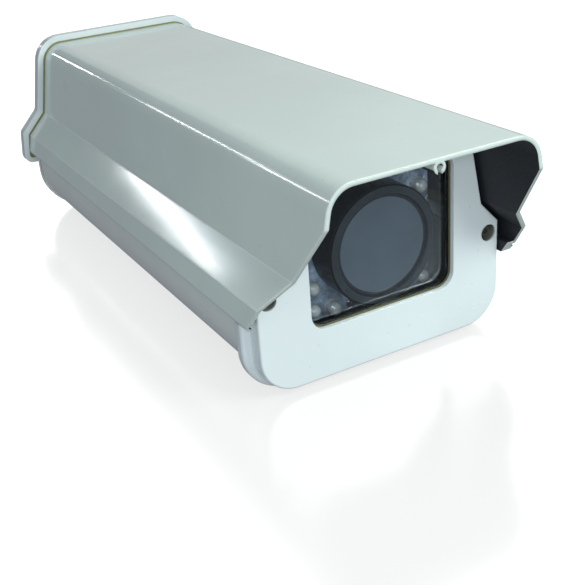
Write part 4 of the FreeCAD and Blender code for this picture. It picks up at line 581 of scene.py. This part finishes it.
class PaintShell(bpy.types.Operator):
    """Paint the cover, the two cast caps, the tray and the rear plate"""

    bl_idname = "housing.paint_shell"
    bl_label = "Paint the shell"

    def execute(self, context):
        colours = context.scene.housing_colours
        wear("top_cover", cover_paint(colours))
        wear("front_cap", gloss_paint("cap_paint", colours.cap, painted_shade=recess_shade))
        # Painted shade: the rear cap wears the cap paint darkened to 0.9.
        wear("cover_rear_cap", gloss_paint("rear_cap_shaded_paint", shade(colours.cap, 0.9)))
        tray = gloss_paint("tray_paint", colours.tray)
        for node in ("base_tray", "rear_plate"):
            wear(node, tray)
        return {"FINISHED"}


class FitRubber(bpy.types.Operator):
    """Finish the gaskets, trims and gland seals"""

    bl_idname = "housing.fit_rubber"
    bl_label = "Finish the rubber"

    def execute(self, context):
        colours = context.scene.housing_colours
        seam = rubber("rubber_grey", colours.seam)
        for node in ("front_cap_gasket", "rear_plate_gasket", "cover_rear_gasket", "cover_seal"):
            wear(node, seam)
        wear("window_gasket", rubber("window_rubber", shade(colours.seam, 0.45), 0.4))
        wear("gland_seals", rubber("gland_rubber", (0.02, 0.02, 0.021)))
        wear("focus_ring", rubber("focus_rubber", (0.018, 0.018, 0.019), 0.45))
        return {"FINISHED"}


class FitGlass(bpy.types.Operator):
    """Finish the window, the lens filter and the lamps"""

    bl_idname = "housing.fit_glass"
    bl_label = "Finish the glass"

    def execute(self, context):
        wear("window_glass", clear_pane())
        wear("lens_glass", filter_glass(context.scene.housing_colours.filter))
        wear("lamps", lamp_resin())
        return {"FINISHED"}


class FitMetal(bpy.types.Operator):
    """Finish the screws, sheet parts and plated parts"""

    bl_idname = "housing.fit_metal"
    bl_label = "Finish the metal"

    def execute(self, context):
        turned, upright = (1.0, 1.0, 1.0), (1.0, 1.0, 0.05)
        steel = metal("screw_steel", (0.52, 0.52, 0.49), 0.32, turned, grain=900)
        # Painted shade: the screws down in the window cap's recesses are a dark olive.
        wear("front_cap_screws", metal("shaded_recess_screw", (0.17, 0.17, 0.13), 0.5, turned, grain=900))
        for node in (
            "retainer_screws", "rear_plate_screws", "cover_rear_screws",
            "terminal_screws", "riser_screws", "lamp_board_screws",
        ):
            wear(node, steel)
        sheet = metal("sheet_steel", (0.55, 0.56, 0.57), 0.36, (0.04, 1.0, 1.0))
        for node in ("window_retainer", "lamp_bracket"):
            wear(node, sheet)
        plated = metal("lock_metal", (0.62, 0.60, 0.55), 0.25, upright)
        for node in ("lock_screw_front", "lock_screw_rear", "sled_lock_screws"):
            wear(node, plated)
        wear("terminal_standoffs", metal("standoff_brass", (0.62, 0.45, 0.20), 0.28, upright))
        wear("video_socket", metal("socket_metal", (0.60, 0.60, 0.57), 0.24))
        sled = metal("sled_metal", (0.56, 0.57, 0.58), 0.38)
        for node in ("camera_sled", "camera_riser"):
            wear(node, sled)
        return {"FINISHED"}


class FitPlastic(bpy.types.Operator):
    """Finish the glands, the lens, the camera and the terminals"""

    bl_idname = "housing.fit_plastic"
    bl_label = "Finish the plastic"

    def execute(self, context):
        gland = plastic("gland_plastic", (0.035, 0.037, 0.040))
        for node in ("gland_bodies", "gland_locknuts", "gland_caps"):
            wear(node, gland)
        black = lens_plastic()
        for node in ("lens_barrel", "lens_hood"):
            wear(node, black)
        wear("camera_body", gloss_paint("camera_shell", (0.42, 0.44, 0.45), 0.6))
        green = plastic("terminal_plastic", (0.04, 0.17, 0.09), 0.35)
        for node in ("terminal_block", "camera_terminal"):
            wear(node, green)
        return {"FINISHED"}


class FitBoards(bpy.types.Operator):
    """Finish the two circuit boards"""

    bl_idname = "housing.fit_boards"
    bl_label = "Finish the boards"

    def execute(self, context):
        board = context.scene.housing_colours.board
        wear("lamp_board", circuit_board("board_black", board, shade(board, 1.5)))
        wear("terminal_board", circuit_board("board_green", (0.03, 0.14, 0.06), (0.06, 0.24, 0.10)))
        return {"FINISHED"}


class AddLampCups(bpy.types.Operator):
    """Set a bright cup with its chip inside each lamp"""

    bl_idname = "housing.add_lamp_cups"
    bl_label = "Lamp cups"

    def execute(self, context):
        deep = context.scene.housing_sizes.cup_depth
        floor = 0.3 * MM
        mesh = bmesh.new()
        for low, high in islands("lamps"):
            centre = (low + high) / 2
            radius = (high.x - low.x) * 0.26
            foot = Vector((centre.x, high.y - 1.4 * MM, centre.z))
            profile = (
                (0.0, 0.0), (radius * 0.55, 0.0), (radius, deep),
                (radius * 0.9, deep), (radius * 0.42, floor), (0.0, floor),
            )
            add_turned(mesh, profile, foot, (0, -1, 0))
            chip_low, chip_high = Vector((-0.3, -0.65, -0.3)) * MM, Vector((0.3, -0.32, 0.3)) * MM
            add_block(mesh, foot + chip_low, foot + chip_high, 0.04 * MM)
        new_piece("lamp_cups", mesh, "sled", metal("lamp_cup_metal", (0.80, 0.80, 0.78), 0.2))
        return {"FINISHED"}


class AddBoardChips(bpy.types.Operator):
    """Set chip resistors with tinned ends on the lamp board"""

    bl_idname = "housing.add_board_chips"
    bl_label = "Board chips"

    def execute(self, context):
        long = context.scene.housing_sizes.chip_length
        wide = long * 0.5
        tall, end_long, skin = 0.6 * MM, 0.4 * MM, 0.03 * MM
        reach, top_row, pitch = 35.0, 8.5, 4.2
        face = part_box("lamp_board")[0].y
        lens_low, lens_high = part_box("lens_glass")
        lens = (lens_low + lens_high) / 2
        draws = random.Random(SEED)
        bodies = bmesh.new()
        ends = bmesh.new()
        for side_x in (-1, 1):
            for side_z in (-1, 1):
                for place in range(3):
                    x = lens.x + side_x * (reach - draws.uniform(0, 1.5)) * MM
                    z = lens.z + side_z * (top_row - place * pitch) * MM
                    start = Vector((x - long / 2, face - tall, z - wide / 2))
                    add_block(bodies, start, start + Vector((long, tall + 0.02 * MM, wide)), 0.06 * MM)
                    for end_x in (x - long / 2, x + long / 2 - end_long):
                        # A tinned end wraps the chip by its skin on every side.
                        at = Vector((end_x - skin, face - tall - 2 * skin, z - wide / 2 - skin))
                        size = Vector((end_long + 2 * skin, tall + 0.08 * MM, wide + 2 * skin))
                        add_block(ends, at, at + size, 0.05 * MM)
        black = plastic("chip_black", (0.02, 0.02, 0.022), 0.3)
        tin = metal("chip_tin", (0.70, 0.70, 0.68), 0.3)
        new_piece("chip_bodies", bodies, "sled", black)
        new_piece("chip_ends", ends, "sled", tin)
        return {"FINISHED"}


class AddClampScrews(bpy.types.Operator):
    """Set a slotted clamp screw in each way of the terminal block"""

    bl_idname = "housing.add_clamp_screws"
    bl_label = "Clamp screws"

    def execute(self, context):
        radius = context.scene.housing_sizes.clamp_radius
        low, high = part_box("terminal_block")
        ways = 6
        pitch = (high.x - low.x) / ways
        y = (low.y + high.y) / 2
        sunk, side, tall, bar_tall = 3.0 * MM, 1.5 * MM, 1.8 * MM, 0.12 * MM
        profile = ((0.0, 0.0), (radius, 0.0), (radius, side), (radius * 0.85, tall), (0.0, tall))
        bar = Vector((radius * 0.75, 0.28 * MM, 0))
        mesh = bmesh.new()
        for way in range(ways):
            seat = Vector((low.x + pitch * (way + 0.5), y, high.z - sunk))
            add_turned(mesh, profile, seat, (0, 0, 1))
            top = seat + Vector((0, 0, tall + 0.02 * MM))
            add_block(mesh, top - bar, top + bar + Vector((0, 0, bar_tall)), 0.03 * MM)
        screw = metal("clamp_steel", (0.58, 0.58, 0.56), 0.3)
        new_piece("clamp_screws", mesh, "housing", screw)
        return {"FINISHED"}


# The stage: table, lights and camera. Sizes are in metres and powers in watts.

TABLE_REACH = 8.0
MIDDLE = (0.0, -0.02, 0.06)

# Softboxes that look at the housing: name, place, size, power and colour.
BOXES = (
    ("key_box", (-0.28, -1.0, 0.35), (0.6, 0.4), 4.4, (0.95, 0.99, 1.0)),
    ("top_box", (0.45, -0.75, 0.70), (0.6, 0.6), 9.4, (0.96, 1.0, 0.96)),
    ("left_card", (-1.15, -0.55, 0.08), (1.2, 0.5), 3.4, (0.93, 0.95, 1.0)),
    # The pale wall behind on the right, which the roof mirrors.
    ("back_wall", (1.0, 2.1, 1.35), (2.4, 2.6), 8.5, WHITE),
)

# Slanted strips in a plane behind the housing: name, x, z, size, power, colour and slant in degrees.
# The first two give the streak on the flare, and with the others the line along the cover's corner.
STRIP_PLANE = 1.1
STRIPS = (
    ("streak_core", -0.57, 0.480, (0.27, 0.017), 0.35, WHITE, 27.0),
    ("streak_glow", -0.58, 0.496, (0.30, 0.060), 0.20, (0.80, 0.90, 1.0), 27.0),
    ("front_strip", -0.81, 0.530, (0.20, 0.030), 0.60, WHITE, 28.0),
    ("rear_strip", -0.29, 0.375, (0.085, 0.020), 0.14, WHITE, 47.0),
)

TENT_FAR = 8.2
TENT_WIDE = 17.0
TENT_TALL = 10.2
TENT_GLOW = 1.25


def stage_floor():
    """A white table under the housing, lit through like a photographer's table."""
    table = Finish("table_top", **{
        "Base Color": (0.09, 0.09, 0.09), "IOR": 1.6, "Emission Color": WHITE, "Emission Strength": 0.71,
    })
    haze = table.noise(3, 2)
    table.set(Roughness=haze * 0.05 + 0.13)
    mesh = bmesh.new()
    bmesh.ops.create_grid(mesh, x_segments=1, y_segments=1, size=TABLE_REACH)
    data = bpy.data.meshes.new("table_top")
    mesh.to_mesh(data)
    mesh.free()
    data.materials.append(table.material)
    floor = bpy.data.objects.new("table_top", data)
    floor.location.z = CAD_BOX[0][2] - TABLE_GAP
    # The table's own glow doesn't reach the housing, which stood in a dim room.
    floor.visible_diffuse = False
    floor.visible_glossy = False
    bpy.context.scene.collection.objects.link(floor)
    return floor


def soft_light(name, place, target, size, power, colour=WHITE, turn=0.0):
    """A rectangular softbox that looks at a point, turned by degrees about that line of sight."""
    data = bpy.data.lights.new(name, "AREA")
    data.shape = "RECTANGLE"
    data.size, data.size_y = size
    data.energy = power
    data.color = colour
    light = bpy.data.objects.new(name, data)
    light.location = place
    aim = (Vector(target) - Vector(place)).to_track_quat("-Z", "Y")
    light.rotation_euler = (aim @ Quaternion((0, 0, 1), math.radians(turn))).to_euler()
    bpy.context.scene.collection.objects.link(light)
    return light


def light_tent(floor):
    """White walls and a ceiling that only the table mirrors, so the housing's image in it is darker."""
    table_only = bpy.data.collections.new("table_only")
    table_only.objects.link(floor)
    half = TENT_TALL / 2
    wall, ceiling = (TENT_WIDE, TENT_TALL), (TENT_WIDE, TENT_WIDE)
    for name, place, target, size in (
        ("tent_back", (0.0, TENT_FAR, half), (0.0, 0.0, half), wall),
        ("tent_front", (0.0, -TENT_FAR, half), (0.0, 0.0, half), wall),
        ("tent_left", (-TENT_FAR, 0.0, half), (0.0, 0.0, half), wall),
        ("tent_right", (TENT_FAR, 0.0, half), (0.0, 0.0, half), wall),
        ("tent_ceiling", (0.0, 0.0, TENT_TALL), (0.0, 0.0, 0.0), ceiling),
    ):
        # An area light's glow is its power over pi and its area.
        side = soft_light(name, place, target, size, TENT_GLOW * math.pi * size[0] * size[1])
        side.light_linking.receiver_collection = table_only


def studio_world(scene):
    """Dim bluish light from all round."""
    world = bpy.data.worlds.new("studio")
    world.use_nodes = True
    sky = world.node_tree.nodes["Background"]
    sky.inputs["Color"].default_value = (0.86, 0.92, 1.0, 1.0)
    sky.inputs["Strength"].default_value = 0.24
    scene.world = world
    scene.view_settings.view_transform = "Standard"


def stand_camera(scene):
    """Stand the camera at its place, with its bearing, height angle and roll."""
    view = scene.housing_view
    level = math.cos(view.elevation)
    back = Vector((
        math.sin(view.azimuth) * level, -math.cos(view.azimuth) * level, math.sin(view.elevation),
    ))
    right = (-back).cross(Vector((0, 0, 1))).normalized()
    up = right.cross(-back)
    across = right * math.cos(view.roll) + up * math.sin(view.roll)
    upward = up * math.cos(view.roll) - right * math.sin(view.roll)
    turn = Matrix((across, upward, back)).transposed().to_4x4()
    data = bpy.data.cameras.new("photo_view")
    data.lens = view.lens
    data.sensor_width = 36.0
    camera = bpy.data.objects.new("photo_view", data)
    camera.matrix_world = Matrix.Translation(Vector(view.place)) @ turn
    scene.collection.objects.link(camera)
    scene.camera = camera


class SetStage(bpy.types.Operator):
    """Lay the pale table, set the soft lights and stand the camera where the photograph was taken"""

    bl_idname = "housing.set_stage"
    bl_label = "Set the stage"

    def execute(self, context):
        light_tent(stage_floor())
        for name, place, size, power, colour in BOXES:
            soft_light(name, place, MIDDLE, size, power, colour)
        for name, x, z, size, power, colour, turn in STRIPS:
            soft_light(name, (x, STRIP_PLANE, z), (x, 0.0, z), size, power, colour, turn)
        studio_world(context.scene)
        stand_camera(context.scene)
        return {"FINISHED"}


class HousingPanel(bpy.types.Panel):
    """Lists the steps that dress the housing"""

    bl_idname = "VIEW3D_PT_housing"
    bl_label = "Camera housing"
    bl_space_type = "VIEW_3D"
    bl_region_type = "UI"
    bl_category = "Housing"

    def draw(self, context):
        scene = context.scene
        for group in (scene.housing_colours, scene.housing_sizes, scene.housing_view):
            box = self.layout.box()
            for name in group.__annotations__:
                box.prop(group, name)
        for step in STEPS:
            self.layout.operator(step.bl_idname)


STEPS = (
    PaintShell, FitRubber, FitGlass, FitMetal, FitPlastic, FitBoards, AddLampCups, AddBoardChips,
    AddClampScrews, SetStage,
)
GROUPS = (
    ("housing_colours", HousingColours),
    ("housing_sizes", SmallSizes),
    ("housing_view", PhotoView),
)


def register():
    for name, group in GROUPS:
        bpy.utils.register_class(group)
        setattr(bpy.types.Scene, name, bpy.props.PointerProperty(type=group))
    for step in STEPS + (HousingPanel,):
        bpy.utils.register_class(step)


def unregister():
    for step in (HousingPanel,) + STEPS[::-1]:
        bpy.utils.unregister_class(step)
    for name, group in GROUPS[::-1]:
        delattr(bpy.types.Scene, name)
        bpy.utils.unregister_class(group)


def main():
    """Register the steps and dress the housing with each in turn."""
    register()
    for step in STEPS:
        family, name = step.bl_idname.split(".")
        getattr(getattr(bpy.ops, family), name)()


if __name__ == "__main__":
    main()
